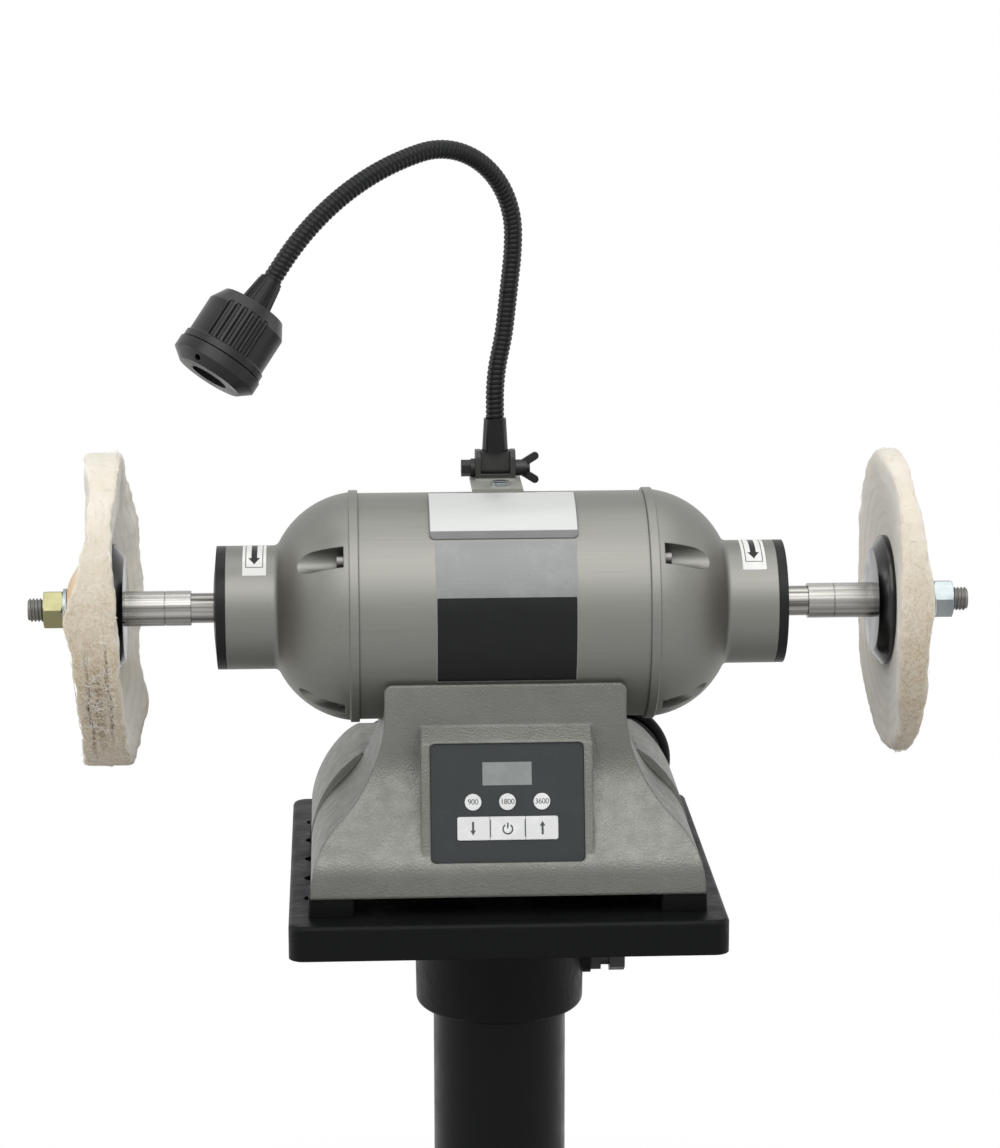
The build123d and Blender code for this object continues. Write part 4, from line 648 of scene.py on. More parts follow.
def arc_through(first, middle, last, count):
    """Points from the first place to the last on the circle through three places."""
    a, b, c = (complex(*place) for place in (first, middle, last))
    ratio = (c - a) / (b - a)
    centre = a + (b - a) * (ratio - abs(ratio) ** 2) / (2j * ratio.imag)
    sweep = cmath.phase((c - centre) / (a - centre))
    places = [centre + (a - centre) * cmath.rect(1, sweep * k / count) for k in range(count + 1)]
    return [(place.real, place.imag) for place in places]


def bell_section():
    dome = arc_through(DOME_START, DOME_BOW, DOME_END, DOME_ROWS)
    dome = dome[:round(DOME_ROWS * DOME_SHARE) + 1]
    fillet = []
    for k in range(1, FILLET_ROWS + 1):
        t = k / FILLET_ROWS
        parts = zip(dome[-1], DOME_END, FILLET_END)
        fillet.append(tuple((1 - t) ** 2 * a + 2 * t * (1 - t) * b + t * t * c for a, b, c in parts))
    return dome + fillet + BELL_REST


def add_pocket_cutter(side):
    """Bars with a round floor that open the pockets to the outside."""
    turns = [math.pi * k / POCKET_STEPS for k in range(POCKET_STEPS + 1)]
    outline = [(POCKET_R * math.cos(turn), POCKET_AT - POCKET_R * math.sin(turn)) for turn in turns]
    outline += [(-POCKET_R, POCKET_TOP), (POCKET_R, POCKET_TOP)]
    points = []
    faces = []
    for pocket in range(POCKET_COUNT):
        lean = math.radians(POCKET_TILT + 360 * pocket / POCKET_COUNT)
        faces += prism_faces(len(points), len(outline))
        for x in POCKET_X:
            for across, out in outline:
                y = across * math.sin(lean) - out * math.cos(lean)
                z = across * math.cos(lean) + out * math.sin(lean)
                points.append(spot(side * x, y, z))
    return new_solid("pocket_cutter", points, faces)


def cut_away(piece, cutter):
    """Takes the cutter's shape out of a piece and removes the cutter."""
    change = piece.modifiers.new("pockets", "BOOLEAN")
    change.operation = "DIFFERENCE"
    change.solver = "EXACT"
    change.object = cutter
    made = shown_mesh(piece)
    piece.modifiers.clear()
    piece.data = made
    bpy.data.objects.remove(cutter)


def add_bell(name, side):
    bell = new_solid(name + "_bell", *revolve(bell_section(), BELL_SIDES, side))
    cut_away(bell, add_pocket_cutter(side))
    bell.data.shade_smooth()
    sharpen(bell)
    return enrol(bell, "machine", "warm_grey", name + "_end_bell")


# Labels wrapped on the motor and its necks: angles in degrees from the crown towards the front
SHELL_R = 75.4
NECK_R = 41.2
LABEL_BED = -0.03
SHEET_T = 0.12
FIELD_T = 0.17
PRINT_T = 0.16
CORNER_STEPS = 6
SPAN_STEPS = 30
STRIP_STEPS = 12
# Rounded sheets as (left, right, first angle, last angle, radius, corner), the stickers' without their sides
MOTOR_SHEET = (-45, 47, 44.5, 119, SHELL_R, 1.5)
MOTOR_FIELD = (-44.3, 46.3, 74, 118.5, SHELL_R, 0.8)
STICKERS = {"left": -163.2, "right": 167}
STICKER_HALF = 7.8
STICKER_REST = (-5.4, 47, NECK_R, 0.5)


def strip(half, top, end):
    """Rows of an even strip as (angle, half its width)."""
    return [(top + (end - top) * k / STRIP_STEPS, half) for k in range(STRIP_STEPS + 1)]


# A sticker's border and arrow, each as its shift along X and its rows
PRINT_TOP = -5
BORDER_SHIFT = 5.6
BORDER_SIDE = strip(0.25, PRINT_TOP, 38)
BORDER_FOOT = [(37.4, 5.8), (38.1, 5.8)]
ARROW_SHAFT = strip(1.9, PRINT_TOP, 25.5)
ARROW_HEAD = [(25.5, 3.9), (29.7, 2), (34, 0.05)]
STICKER_PRINTS = [(-BORDER_SHIFT, BORDER_SIDE), (BORDER_SHIFT, BORDER_SIDE), (0, BORDER_FOOT),
                  (0, ARROW_SHAFT), (0, ARROW_HEAD)]


def sheet_rows(left, right, top, end, radius, corner):
    """Rows of a rounded rectangle as (angle, left, right)."""
    length = math.radians(end - top) * radius
    corners = [corner * (1 - math.cos(math.radians(90 * k / CORNER_STEPS))) for k in range(CORNER_STEPS + 1)]
    spans = [corner + (length - 2 * corner) * k / SPAN_STEPS for k in range(1, SPAN_STEPS)]
    rows = []
    for travel in corners + spans + [length - inset for inset in reversed(corners)]:
        inside = corner - min(corner, travel, length - travel)
        trim = corner - math.sqrt(corner * corner - inside * inside)
        rows.append((top + math.degrees(travel / radius), left + trim, right - trim))
    return rows


def add_label(name, radius, lift, rows, slot):
    """A thin closed sheet wrapped on a round part of the machine."""
    points = []
    for height in (lift, LABEL_BED):
        for angle, left, right in rows:
            points += [round_spot(x, radius + height, math.radians(angle)) for x in (left, right)]
    count = 2 * len(rows)
    faces = [(0, 1, count + 1, count), (count - 2, 2 * count - 2, 2 * count - 1, count - 1)]
    for a in range(0, count - 2, 2):
        b = a + count
        faces += [(a, a + 2, a + 3, a + 1), (b, b + 1, b + 3, b + 2)]
        faces += [(a, b, b + 2, a + 2), (a + 1, a + 3, b + 3, b + 1)]
    return enrol(new_solid(name, points, faces, smooth=False), "machine", slot)


def add_labels():
    pale = [add_label("motor_label", SHELL_R, SHEET_T, sheet_rows(*MOTOR_SHEET), "silver_plate")]
    dark = [add_label("motor_label_field", SHELL_R, FIELD_T, sheet_rows(*MOTOR_FIELD), "black_plastic")]
    white = []
    for side, middle in STICKERS.items():
        sheet = sheet_rows(middle - STICKER_HALF, middle + STICKER_HALF, *STICKER_REST)
        white.append(add_label(side + "_sticker", NECK_R, SHEET_T, sheet, "key_white"))
        for k, (shift, table) in enumerate(STICKER_PRINTS):
            rows = [(angle, middle + shift - half, middle + shift + half) for angle, half in table]
            dark.append(add_label(f"{side}_sticker_print_{k}", NECK_R, PRINT_T, rows, "black_plastic"))
    return pale, dark, white


# Signs on the keys: u runs across the console's face, v up its slope, w out of it
FACE_Y = -91
FACE_Z = -111.5
FACE_LEAN = math.atan2(20, 75)
KEY_TOP_W = -0.7
SIGN_T = 0.04
NUMBER_V = 0.6
NUMBER_SIZE = 5
NUMBER_SPACING = 0.92
NUMBERS = {"900": -22.4, "1800": 0, "3600": 22.4}
BAR_V = -16.5
ARROW_U = 22.6
ARROW_SHAPE = [(-0.7, -4.4), (0.7, -4.4), (0.7, 1.2), (1.8, 1.2), (0, 4.5), (-1.8, 1.2), (-0.7, 1.2)]
POWER_R = 3.6
POWER_BORE_R = 2.6
POWER_DROP = 0.6
POWER_STEPS = 30
POWER_TURNS = [math.radians(125 + 290 * k / POWER_STEPS) for k in range(POWER_STEPS + 1)]
POWER_BAR = (0.5, -0.2, 3.6)
LINE_U = 11.2
LINE_BAR = (0.25, -5.6, 5.6)


def face_spot(u, v, w):
    y = FACE_Y + v * math.sin(FACE_LEAN) - w * math.cos(FACE_LEAN)
    z = FACE_Z + v * math.cos(FACE_LEAN) + w * math.sin(FACE_LEAN)
    return spot(u, y, z)


def add_sign(name, outlines, body):
    """Thin raised prints on a key of the lower row, each from an outline of (u, v) points."""
    points = []
    faces = []
    for outline in outlines:
        faces += prism_faces(len(points), len(outline))
        for w in (KEY_TOP_W + SIGN_T, KEY_TOP_W - SIGN_T):
            points += [face_spot(u, BAR_V + v, w) for u, v in outline]
    return enrol(new_solid(name, points, faces, smooth=False), body, "black_plastic")


def add_number(words, u):
    """A number in the built-in typeface, as a thin mesh on its key."""
    name = "number_" + words
    curve = bpy.data.curves.new(name, "FONT")
    curve.body = words
    curve.size = NUMBER_SIZE
    curve.space_character = NUMBER_SPACING
    curve.align_x = "CENTER"
    curve.align_y = "CENTER"
    curve.extrude = SIGN_T
    holder = place_object(name, curve)
    flat = shown_mesh(holder)
    bpy.data.objects.remove(holder)
    points = [face_spot(u + p.co.x, NUMBER_V + p.co.y, KEY_TOP_W + p.co.z) for p in flat.vertices]
    faces = [tuple(face.vertices) for face in flat.polygons]
    sign = new_solid(name + "_sign", points, faces, smooth=False)
    return enrol(sign, "key_" + words, "black_plastic")


def bar_outline(u, half, low, high):
    return [(u - half, low), (u + half, low), (u + half, high), (u - half, high)]


def power_outline():
    """A ring with a gap at its top."""
    outline = []
    for r, turns in ((POWER_R, POWER_TURNS), (POWER_BORE_R, reversed(POWER_TURNS))):
        outline += [(r * math.cos(turn), r * math.sin(turn) - POWER_DROP) for turn in turns]
    return outline


def add_signs():
    up = [(ARROW_U + u, v) for u, v in ARROW_SHAPE]
    down = [(-ARROW_U + u, -v) for u, v in ARROW_SHAPE]
    power = [power_outline(), bar_outline(0, *POWER_BAR), bar_outline(-LINE_U, *LINE_BAR),
             bar_outline(LINE_U, *LINE_BAR)]
    numbers = [add_number(words, u) for words, u in NUMBERS.items()]
    return numbers + [add_sign("down_arrow", [down], "key_down"), add_sign("up_arrow", [up], "key_up"),
                      add_sign("power_sign", power, "key_power")]


# Materials: reliefs and edges in millimetres, places in metres, tones in display values of 0 to 255
def tone(red, green, blue):
    """Linear colour from display values."""
    parts = []
    for value in (red, green, blue):
        share = value / 255
        parts.append(share / 12.92 if share <= 0.04045 else ((share + 0.055) / 1.055) ** 2.4)
    return (*parts, 1)


def scaled(colour, factor, lift=0):
    """A linear colour made lighter or darker."""
    return (*(part * factor + lift for part in colour[:3]), 1)


class Nodes:
    """A node tree with short ways to add nodes and feed their sockets."""

    def __init__(self, tree):
        self.tree = tree

    def feed(self, socket, value):
        """Links a socket to another one, or sets it to a constant."""
        if isinstance(value, bpy.types.NodeSocket):
            self.tree.links.new(value, socket)
        else:
            socket.default_value = value

    def node(self, kind, sockets=(), **values):
        """Adds a node, feeds its inputs by name or number, and gives its outputs."""
        made = self.tree.nodes.new("ShaderNode" + kind)
        for key, value in values.items():
            setattr(made, key, value)
        for key, value in dict(sockets).items():
            self.feed(made.inputs[key], value)
        return made.outputs

    def maths(self, kind, *values):
        return self.node("Math", enumerate(values), operation=kind)["Value"]

    def times(self, first, second):
        return self.maths("MULTIPLY", first, second)

    def seen_rays(self):
        """1 for the rays that show a surface: to the camera, off metal and through glass."""
        path = self.node("LightPath")
        direct = self.maths("MAXIMUM", path["Is Camera Ray"], path["Is Glossy Ray"])
        return self.maths("MAXIMUM", direct, path["Is Transmission Ray"])

    def show_between(self, share, first, second, output):
        """Shows a mix of two shaders."""
        both = self.node("MixShader", {"Fac": share, 1: first, 2: second})
        self.feed(self.tree.nodes[output].inputs["Surface"], both["Shader"])


class Coat(Nodes):
    """A node material with helpers for its colour, gloss and relief."""

    def __init__(self, name, colour, rough, metal=0, shine=0.5):
        self.material = bpy.data.materials.new(name)
        self.material.use_nodes = True
        super().__init__(self.material.node_tree)
        self.shader = self.tree.nodes["Principled BSDF"]
        self.base = colour
        self.rough = rough
        self.place = self.node("TexCoord")["Object"]
        self.set("Base Color", colour)
        self.set("Roughness", rough)
        self.set("Metallic", metal)
        self.set("Specular IOR Level", shine)

    def set(self, name, value):
        self.feed(self.shader.inputs[name], value)

    def stretched(self, x, y, z):
        return self.node("Mapping", {"Scale": (x, y, z), "Vector": self.place})["Vector"]

    def noise(self, scale, detail=4, rough=0.5, place=None, swirl=0):
        """Noise by its rate per metre, detail and roughness; swirl bends it."""
        sockets = {"Scale": scale, "Detail": detail, "Roughness": rough, "Distortion": swirl}
        return self.node("TexNoise", {**sockets, "Vector": place or self.place})["Fac"]

    def streaks(self, x, y, z, detail, rough):
        """Noise with its own rate along each axis."""
        return self.noise(1, detail, rough, self.stretched(x, y, z))

    def cells(self, scale):
        return self.node("TexVoronoi", {"Scale": scale, "Vector": self.place})["Distance"]

    def ramp(self, value, low, high, start=0, end=1, kind="LINEAR"):
        """Maps a value from one span to another, held at its ends."""
        sockets = {"Value": value, "From Min": low, "From Max": high, "To Min": start, "To Max": end}
        return self.node("MapRange", sockets, interpolation_type=kind)["Result"]

    def weighed(self, first, share, second):
        """Sum of two values, the first with a share and the second with the rest."""
        return self.maths("ADD", self.times(first, share), self.times(second, 1 - share))

    def colour(self, first, *layers):
        """Lays layers of (share, linear colour) over a first colour."""
        for share, second in layers:
            made = self.tree.nodes.new("ShaderNodeMix")
            made.data_type = "RGBA"
            self.feed(made.inputs["Factor"], share)
            inputs = [socket for socket in made.inputs if socket.type == "RGBA"]
            self.feed(inputs[0], first)
            self.feed(inputs[1], second)
            first = [socket for socket in made.outputs if socket.type == "RGBA"][0]
        self.set("Base Color", first)

    def gloss(self, value, less, more):
        """Roughness round the coat's own, by the middle of a noise's span."""
        self.set("Roughness", self.ramp(value, 0.3, 0.7, self.rough + less, self.rough + more))

    def rounded(self, radius):
        """Direction of the surface with its edges rounded."""
        return self.node("Bevel", {"Radius": radius * MM}, samples=4)["Normal"]

    def relief(self, under, *layers):
        """Lays reliefs of (height, strength, depth) on a rounded surface, or on the plain one."""
        for height, strength, depth in layers:
            sockets = {"Height": height, "Strength": strength, "Distance": depth * MM}
            if under is not None:
                sockets["Normal"] = under
            under = self.node("Bump", sockets)["Normal"]
        self.set("Normal", under)

    def edge_share(self, rounded, low, high):
        """How close a point is to an edge, from both directions of the surface."""
        plain = self.node("NewGeometry")["Normal"]
        match = self.node("VectorMath", {0: rounded, 1: plain}, operation="DOT_PRODUCT")["Value"]
        return self.ramp(match, high, low)

    def axis_parts(self):
        """Sockets of X, and of Y and Z measured from the spindle's axis, in metres."""
        parts = self.node("SeparateXYZ", {"Vector": self.place})
        across = self.maths("SUBTRACT", parts["Y"], SPINDLE_Y * MM)
        return parts["X"], across, self.maths("SUBTRACT", parts["Z"], SPINDLE_Z * MM)


def painted(coat, grain, grain_depth, lumps, lump_depth, edge, wear):
    """Sprayed paint: fine grain over soft lumps, rounded edges and a little wear on them."""
    rounded = coat.rounded(edge)
    broad = coat.noise(lumps, 3)
    fine = coat.noise(grain, 5, 0.6)
    coat.relief(rounded, (broad, 0.6, lump_depth), (fine, 0.5, grain_depth))
    dusty = coat.ramp(coat.noise(9), 0.35, 0.7, 0, 0.16)
    broken = coat.ramp(coat.noise(160, 5, 0.7), 0.52, 0.66)
    rubbed = coat.times(coat.edge_share(rounded, 0.8, 0.985), broken)
    coat.colour(coat.base, (dusty, scaled(coat.base, 1.25, 0.004)), (rubbed, tone(*wear)))
    coat.gloss(coat.noise(60), -0.06, 0.08)


def machined(coat, along, lines, edge):
    """Turned or brushed metal; lines run round the axis when along is the axis of turning."""
    scale = [lines if axis == along else 3 for axis in "xyz"]
    marks = coat.streaks(*scale, 6, 0.7)
    smear = coat.noise(45, 5, 0.6)
    coat.relief(coat.rounded(edge), (marks, 0.25, 0.04))
    coat.colour(coat.base, (coat.ramp(smear, 0.45, 0.75), scaled(coat.base, 0.72)))
    coat.gloss(coat.weighed(marks, 0.6, smear), -0.08, 0.12)


def ground(coat, dark):
    """Ground and polished bar: long streaks along X, painted as reflection bands of light and dark, over
    faint turning marks.
    """
    streaks = coat.streaks(2.5, 420, 420, 5, 0.65)
    marks = coat.streaks(900, 3, 3, 4, 0.6)
    coat.relief(coat.rounded(0.4), (marks, 0.1, 0.02))
    # Painted reflection: the streaks along X mix a dark tone into the bright steel
    coat.colour(tone(*dark), (coat.ramp(streaks, 0.38, 0.62), coat.base))
    coat.gloss(coat.weighed(marks, 0.4, streaks), -0.06, 0.08)


def moulded(coat, grain, depth, edge):
    """Moulded plastic or rubber with a fine skin texture and pale scuffs."""
    coat.relief(coat.rounded(edge), (coat.noise(grain, 6, 0.6), 0.4, depth))
    scuff = coat.ramp(coat.noise(38, 6, 0.7), 0.5, 0.78, 0, 0.35)
    coat.colour(coat.base, (scuff, scaled(coat.base, 1.8, 0.006)))
    coat.gloss(coat.noise(55, 5), -0.08, 0.1)


def silver_paint(coat):
    """Silver-grey metallic paint: fine flake, faint streaks along the motor, softened edges."""
    streaks = coat.streaks(14, 800, 800, 5, 0.65)
    flake = coat.noise(2600, 2)
    coat.relief(coat.rounded(0.9), (coat.noise(420, 3), 0.25, 0.06), (flake, 0.3, 0.08))
    coat.colour(tone(123, 123, 118), (coat.ramp(streaks, 0.3, 0.7), tone(130, 130, 125)),
                (coat.ramp(flake, 0.55, 0.8, 0, 0.5), tone(150, 150, 145)))
    coat.gloss(coat.weighed(streaks, 0.7, flake), -0.015, 0.035)


def cast_enamel(coat):
    """Hammered silver-grey enamel on a rough casting."""
    waves = coat.noise(60, 2)
    grain = coat.noise(1100, 3, 0.6)
    coat.relief(coat.rounded(2.6), (waves, 0.2, 0.4), (coat.cells(760), 0.5, 0.4), (grain, 0.7, 0.4))
    cloud = coat.ramp(coat.noise(14, 5, 0.6), 0.35, 0.7)
    speck = coat.ramp(coat.noise(900, 3), 0.6, 0.75, 0, 0.35)
    coat.colour(tone(114, 114, 109), (cloud, tone(126, 126, 121)), (speck, tone(154, 154, 150)))
    coat.gloss(coat.noise(120), -0.12, 0.04)


# Rings on the faces of the wheels
RING_PITCH = 0.0085
RING_WAVE = 0.006


def cotton_cloth(coat):
    """Unbleached cotton plies: fibres and weave, rings on the faces and tan speckle that grows towards the
    bottom of the tread.
    """
    x, across, up = coat.axis_parts()
    radius = coat.maths("SQRT", coat.maths("ADD", coat.times(across, across), coat.times(up, up)))
    threads = coat.noise(260, 5, 0.7, place=coat.stretched(3, 1, 1), swirl=2)
    coat.relief(None, (threads, 0.6, 0.8), (coat.noise(900, 6, 0.75), 0.8, 0.5))
    cloud = coat.ramp(coat.noise(30, 5, 0.65), 0.35, 0.7)
    # The tread gets tan and brown speckle that grows towards its bottom
    tread = coat.times(coat.ramp(radius, 0.094, 0.1), coat.ramp(up, 0.07, -0.02, 0.15, 1))
    worn = coat.ramp(coat.noise(75, 6, 0.7), 0.3, 0.65, 0.2, 0.75)
    tangle = coat.ramp(coat.noise(150, 6, 0.7, swirl=3), 0.44, 0.62, 0, 0.85)
    strands = coat.ramp(coat.noise(210, rough=0.6, swirl=5), 0.55, 0.62, 0, 0.6)
    wavy = coat.maths("ADD", radius, coat.times(coat.noise(45, 2), RING_WAVE))
    rings = coat.ramp(coat.maths("SINE", coat.times(wavy, 2 * math.pi / RING_PITCH)), 0.2, 1, 0, 0.4)
    faces = coat.ramp(radius, 0.096, 0.09)
    # Painted warm shade on the left wheel's outer face round its nut
    painted_warm_shade = coat.times(coat.ramp(radius, 0.045, 0.02), coat.ramp(x, -0.272, -0.284))
    coat.colour(tone(249, 244, 233), (cloud, tone(241, 232, 214)),
                (coat.times(tread, worn), tone(216, 197, 163)),
                (coat.times(tread, tangle), tone(200, 176, 140)),
                (coat.times(tread, strands), tone(247, 241, 229)),
                (coat.times(rings, faces), tone(222, 213, 196)), (painted_warm_shade, tone(226, 186, 130)))
    coat.set("Sheen Weight", 0.6)
    coat.set("Sheen Roughness", 0.5)


def cotton_thread(coat):
    coat.relief(None, (coat.noise(4000, 3), 0.4, 0.1))
    coat.colour(tone(248, 245, 238), (coat.ramp(coat.noise(140), 0.35, 0.65), tone(222, 210, 188)))
    coat.gloss(coat.noise(300, 3), -0.05, 0.05)


def satin_plate(coat):
    """Satin plate with painted shade on the bevel along its lower edge and painted shadow lines at its ends.
    """
    x, across, up = coat.axis_parts()
    lean = coat.maths("ARCTAN2", coat.times(across, -1), up)
    # Painted shade on the lower bevel and painted shadow lines at both ends of the plate
    painted_bevel_shade = coat.ramp(lean, math.radians(39), math.radians(39.4))
    painted_end_shadows = coat.ramp(coat.maths("ABSOLUTE", x), 0.0478, 0.0481)
    brushed = coat.streaks(40, 900, 900, 6, 0.7)
    coat.relief(coat.rounded(0.8), (brushed, 0.08, 0.02))
    coat.colour(coat.base, (coat.ramp(brushed, 0.35, 0.7), tone(198, 200, 198)),
                (coat.maths("MAXIMUM", painted_bevel_shade, painted_end_shadows), tone(112, 113, 112)))
    coat.gloss(coat.noise(60), -0.06, 0.08)


def clear_lens(coat):
    coat.relief(None, (coat.noise(700, 2), 0.3, 0.3))
    coat.gloss(coat.noise(90), -0.04, 0.08)


def display_glass(coat):
    """Unlit liquid-crystal window with a faint cloudiness."""
    coat.relief(None, (coat.noise(1500, 2), 0.1, 0.1))
    cloud = coat.ramp(coat.noise(120, 3), 0.3, 0.7)
    coat.colour(tone(142, 148, 147), (cloud, tone(154, 158, 157)))
    coat.gloss(coat.noise(300, 3), -0.04, 0.06)


# Finishes by their recipe, as (name, tone, roughness, metal, shine) and then what the recipe takes
FINISHES = {
    cast_enamel: [("cast_grey", (120, 120, 115), 0.48, 0.7, 0.35)],
    silver_paint: [("motor_grey", (126, 126, 121), 0.47, 0.9, 0.35)],
    cotton_cloth: [("cotton_cloth", (240, 234, 221), 0.95, 0, 0.2)],
    cotton_thread: [("loose_thread", (246, 242, 233), 0.9, 0, 0.2)],
    satin_plate: [("badge_silver", (203, 205, 203), 0.36, 0.2, 0.3)],
    clear_lens: [("clear_lens", (44, 46, 42), 0.12, 0, 0.5)],
    display_glass: [("display_glass", (148, 153, 152), 0.18, 0, 0.5)],
    # Ground steel: the last tone is the dark of the painted reflection bands
    ground: [
        ("turned_steel", (180, 179, 175), 0.24, 1, 0.5, (122, 120, 115)),
        ("shaft_steel", (170, 168, 163), 0.24, 1, 0.5, (92, 91, 88)),
    ],
    painted: [
        ("stand_black", (14, 15, 15), 0.42, 0, 0.1, 900, 0.3, 220, 0.6, 1.5, (52, 52, 51)),
        ("column_black", (12, 13, 13), 0.32, 0, 0.12, 1400, 0.12, 90, 0.3, 1, (46, 46, 45)),
        ("cap_black", (24, 25, 25), 0.4, 0, 0.2, 1600, 0.1, 200, 0.2, 0.6, (70, 69, 66)),
        ("flange_black", (10, 10, 11), 0.16, 0, 0.5, 1800, 0.04, 150, 0.06, 0.5, (90, 88, 85)),
        ("bracket_grey", (158, 158, 152), 0.42, 0.3, 0.4, 1500, 0.1, 200, 0.2, 0.4, (206, 205, 200)),
        ("clevis_black", (58, 59, 57), 0.45, 0, 0.3, 1700, 0.12, 240, 0.2, 0.5, (116, 115, 112)),
    ],
    machined: [
        ("dark_steel", (120, 119, 116), 0.38, 1, 0.5, "x", 600, 0.3),
        ("black_steel", (58, 58, 59), 0.4, 1, 0.5, "x", 300, 0.3),
        ("zinc", (152, 159, 161), 0.33, 1, 0.5, "y", 240, 0.6),
        ("yellow_zinc", (142, 139, 104), 0.3, 1, 0.5, "y", 240, 0.6),
        ("copper", (196, 120, 80), 0.35, 1, 0.5, "y", 700, 0.3),
        ("core_steel", (130, 130, 130), 0.45, 1, 0.5, "x", 1200, 0.3),
    ],
    moulded: [
        ("panel_film", (50, 54, 55), 0.42, 0, 0.35, 2200, 0.06, 0.4),
        ("key_white", (240, 241, 240), 0.38, 0, 0.4, 1800, 0.06, 0.3),
        ("label_silver", (140, 142, 141), 0.34, 0, 0.5, 1600, 0.04, 0.1),
        ("label_black", (20, 21, 21), 0.34, 0, 0.22, 1600, 0.04, 0.1),
        ("label_white", (232, 232, 229), 0.4, 0, 0.4, 1600, 0.04, 0.1),
        ("sign_grey", (84, 86, 88), 0.45, 0, 0.3, 1600, 0.04, 0.1),
        ("hose_black", (15, 16, 17), 0.27, 0, 0.2, 900, 0.05, 0.2),
        ("lamp_black", (22, 23, 23), 0.34, 0, 0.34, 1500, 0.1, 0.5),
        ("boot_black", (14, 15, 15), 0.26, 0, 0.22, 1100, 0.05, 0.4),
        ("switch_black", (18, 18, 19), 0.5, 0, 0.3, 1300, 0.1, 0.3),
        ("rubber", (13, 14, 14), 0.45, 0, 0.12, 1000, 0.15, 0.6),
        ("tie_black", (24, 24, 25), 0.45, 0, 0.3, 900, 0.1, 0.3),
        ("board_green", (40, 92, 62), 0.45, 0, 0.4, 600, 0.1, 0.3),
        ("drive_black", (40, 41, 42), 0.5, 0, 0.3, 900, 0.1, 0.5),
    ],
}
NODE_FINISH = {
    "cast_grey": ["base_casting"],
    "motor_grey": ["motor_shell"],
    "stand_black": ["stand_head", "floor_base", "base_bottom_cover"],
    "column_black": ["column"],
    "cap_black": ["bearing_caps"],
    "bracket_grey": ["lamp_bracket"],
    "clevis_black": ["lamp_clevis", "swivel_block"],
    "turned_steel": ["wheel_spacers"],
    "core_steel": ["stator_core", "rotor", "bearing_outer_races", "bearing_inner_races", "bearing_balls"],
    "copper": ["stator_windings"],
    "black_steel": ["head_set_bolt", "motor_bolts", "pivot_bolt", "wing_nut"],
    "dark_steel": ["bell_screws"],
    "zinc": ["right_nut", "nut_washers", "mounting_bolts", "bracket_screw"],
    "yellow_zinc": ["left_nut"],
    "badge_silver": ["badge_plate"],
    "panel_film": ["control_panel"],
    "display_glass": ["display_window"],
    "key_white": ["key_900", "key_1800", "key_3600", "key_down", "key_power", "key_up"],
    "board_green": ["control_board", "lamp_led_board"],
    "drive_black": ["drive_unit"],
    "lamp_black": ["lamp_housing", "lamp_bezel"],
    "boot_black": ["lower_boot", "upper_boot", "strain_relief", "plug"],
    "switch_black": ["lamp_switch"],
    "clear_lens": ["lamp_lens"],
    "rubber": ["rubber_feet"],
    "tie_black": ["cord_tie"],
}


def dress(piece, material):
    if not piece.material_slots:
        piece.data.materials.append(material)
    for slot in piece.material_slots:
        slot.material = material


def dress_all(pieces):
    """Makes every finish, and gives it to its new pieces and its nodes."""
    for recipe, rows in FINISHES.items():
        for name, colour, rough, metal, shine, *rest in rows:
            coat = Coat(name, tone(*colour), rough, metal, shine)
            recipe(coat, *rest)
            for piece in pieces.get(name, []) + [nodes[node] for node in NODE_FINISH.get(name, [])]:
                dress(piece, coat.material)


# Floor, backdrop and light, in metres
FLOOR_REACH = 60
FLOOR_COLOUR = (0.72, 0.72, 0.72, 1)
FLOOR_ROUGH = 0.9
NEAR_WHITE = 0.02
NEAR_REACH = 0.65
FAR_REACH = 1.6
WORLD_LIGHT = 0.33
WHITE = (1, 1, 1, 1)
# Softboxes as (name, place, target, width, height, power)
SOFTBOXES = [
    ("front_box", (0, -1.25, 2.65), (0, 0, 1), 2.6, 1.9, 35),
    ("rear_box", (0, 0.3, 2.9), (0, 0, 1), 2.2, 0.9, 9),
    ("left_box", (-1.9, 0.1, 1.35), (0.2, 0, 1), 1.2, 1.6, 14),
    ("right_box", (1.9, 0.1, 1.35), (-0.2, 0, 1), 1.2, 1.6, 8),
]


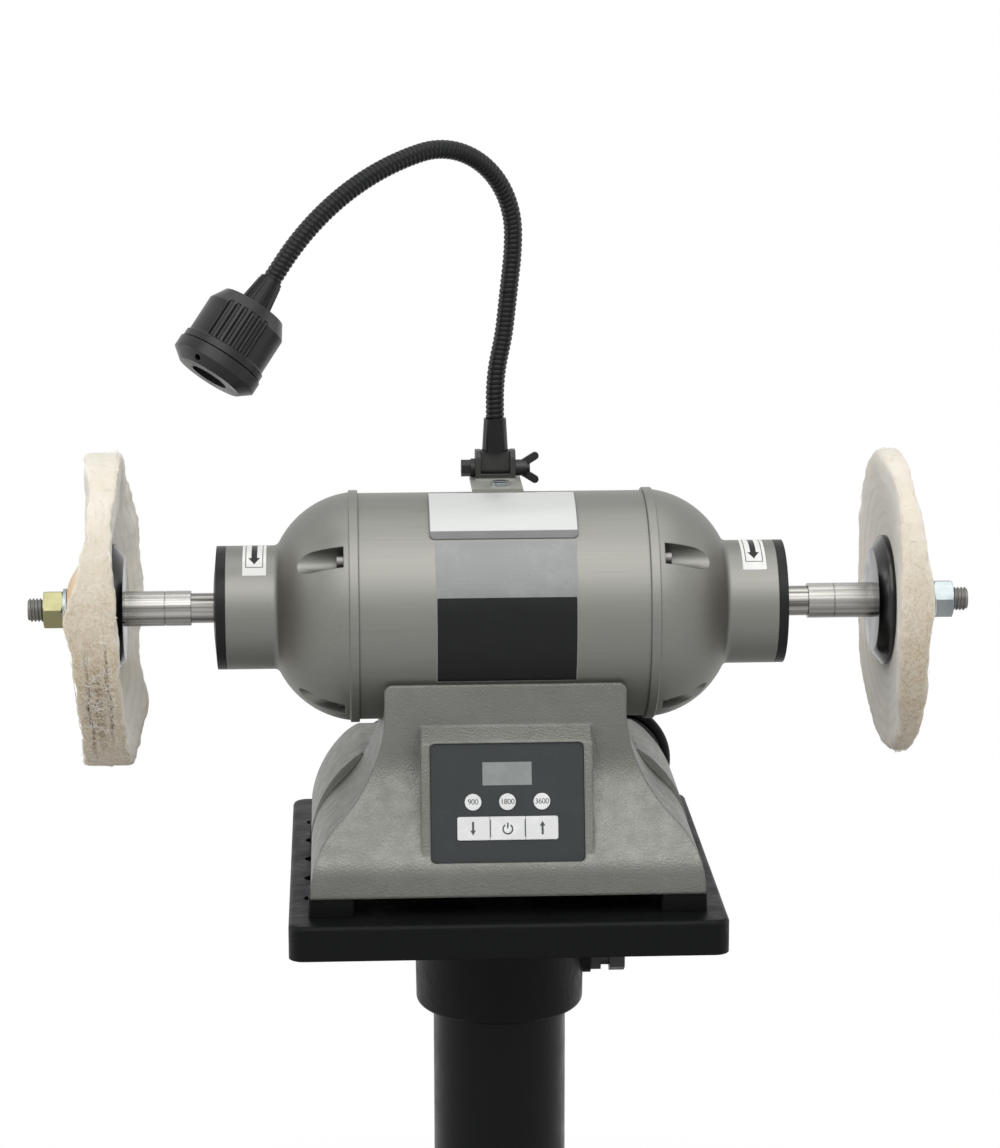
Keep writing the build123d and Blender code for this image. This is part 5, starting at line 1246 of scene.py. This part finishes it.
def floor_material():
    """Pale matt floor that keeps the shadow near the machine and is white further off."""
    coat = Coat("studio_floor", FLOOR_COLOUR, FLOOR_ROUGH)
    distance = coat.node("VectorMath", {0: coat.place}, operation="LENGTH")["Value"]
    white = coat.ramp(distance, NEAR_REACH, FAR_REACH, NEAR_WHITE, 1, "SMOOTHSTEP")
    glow = coat.node("Emission")["Emission"]
    share = coat.times(coat.seen_rays(), white)
    coat.show_between(share, coat.shader.outputs["BSDF"], glow, "Material Output")
    return coat.material


def add_floor():
    corners = [(x * FLOOR_REACH, y * FLOOR_REACH, 0) for x, y in ((-1, -1), (1, -1), (1, 1), (-1, 1))]
    floor = new_mesh("floor", corners, [(0, 1, 2, 3)], smooth=False)
    dress(floor, floor_material())


def add_world():
    world = bpy.data.worlds.new("studio")
    world.use_nodes = True
    studio = Nodes(world.node_tree)
    sky = studio.tree.nodes["Background"]
    studio.feed(sky.inputs["Strength"], WORLD_LIGHT)
    studio.feed(sky.inputs["Color"], WHITE)
    white = studio.node("Background", {"Color": WHITE})["Background"]
    studio.show_between(studio.seen_rays(), sky.outputs["Background"], white, "World Output")
    scene.world = world


def add_softbox(name, place, target, width, height, power):
    data = bpy.data.lights.new(name, "AREA")
    data.shape = "RECTANGLE"
    data.size = width
    data.size_y = height
    data.energy = power
    lamp = place_object(name, data)
    lamp.location = place
    aim = Vector(target) - Vector(place)
    lamp.rotation_euler = aim.to_track_quat("-Z", "Y").to_euler()


add_camera()
pieces = {
    "rubber": [add_cord()],
    "hose_black": add_gooseneck(),
    "cotton_cloth": [add_wheel(*side) for side in SIDES],
    "loose_thread": [add_strands(*side) for side in SIDES],
    "shaft_steel": [add_spindle_bar()],
    "flange_black": [add_flange_discs()],
    "motor_grey": [add_bell(*side) for side in SIDES],
    "dark_steel": [add_thread(*side) for side in SIDES],
}
pieces["label_silver"], pieces["label_black"], pieces["label_white"] = add_labels()
pieces["sign_grey"] = add_signs()
dress_all(pieces)
add_floor()
add_world()
for softbox in SOFTBOXES:
    add_softbox(*softbox)

scene.view_settings.view_transform = "Standard"
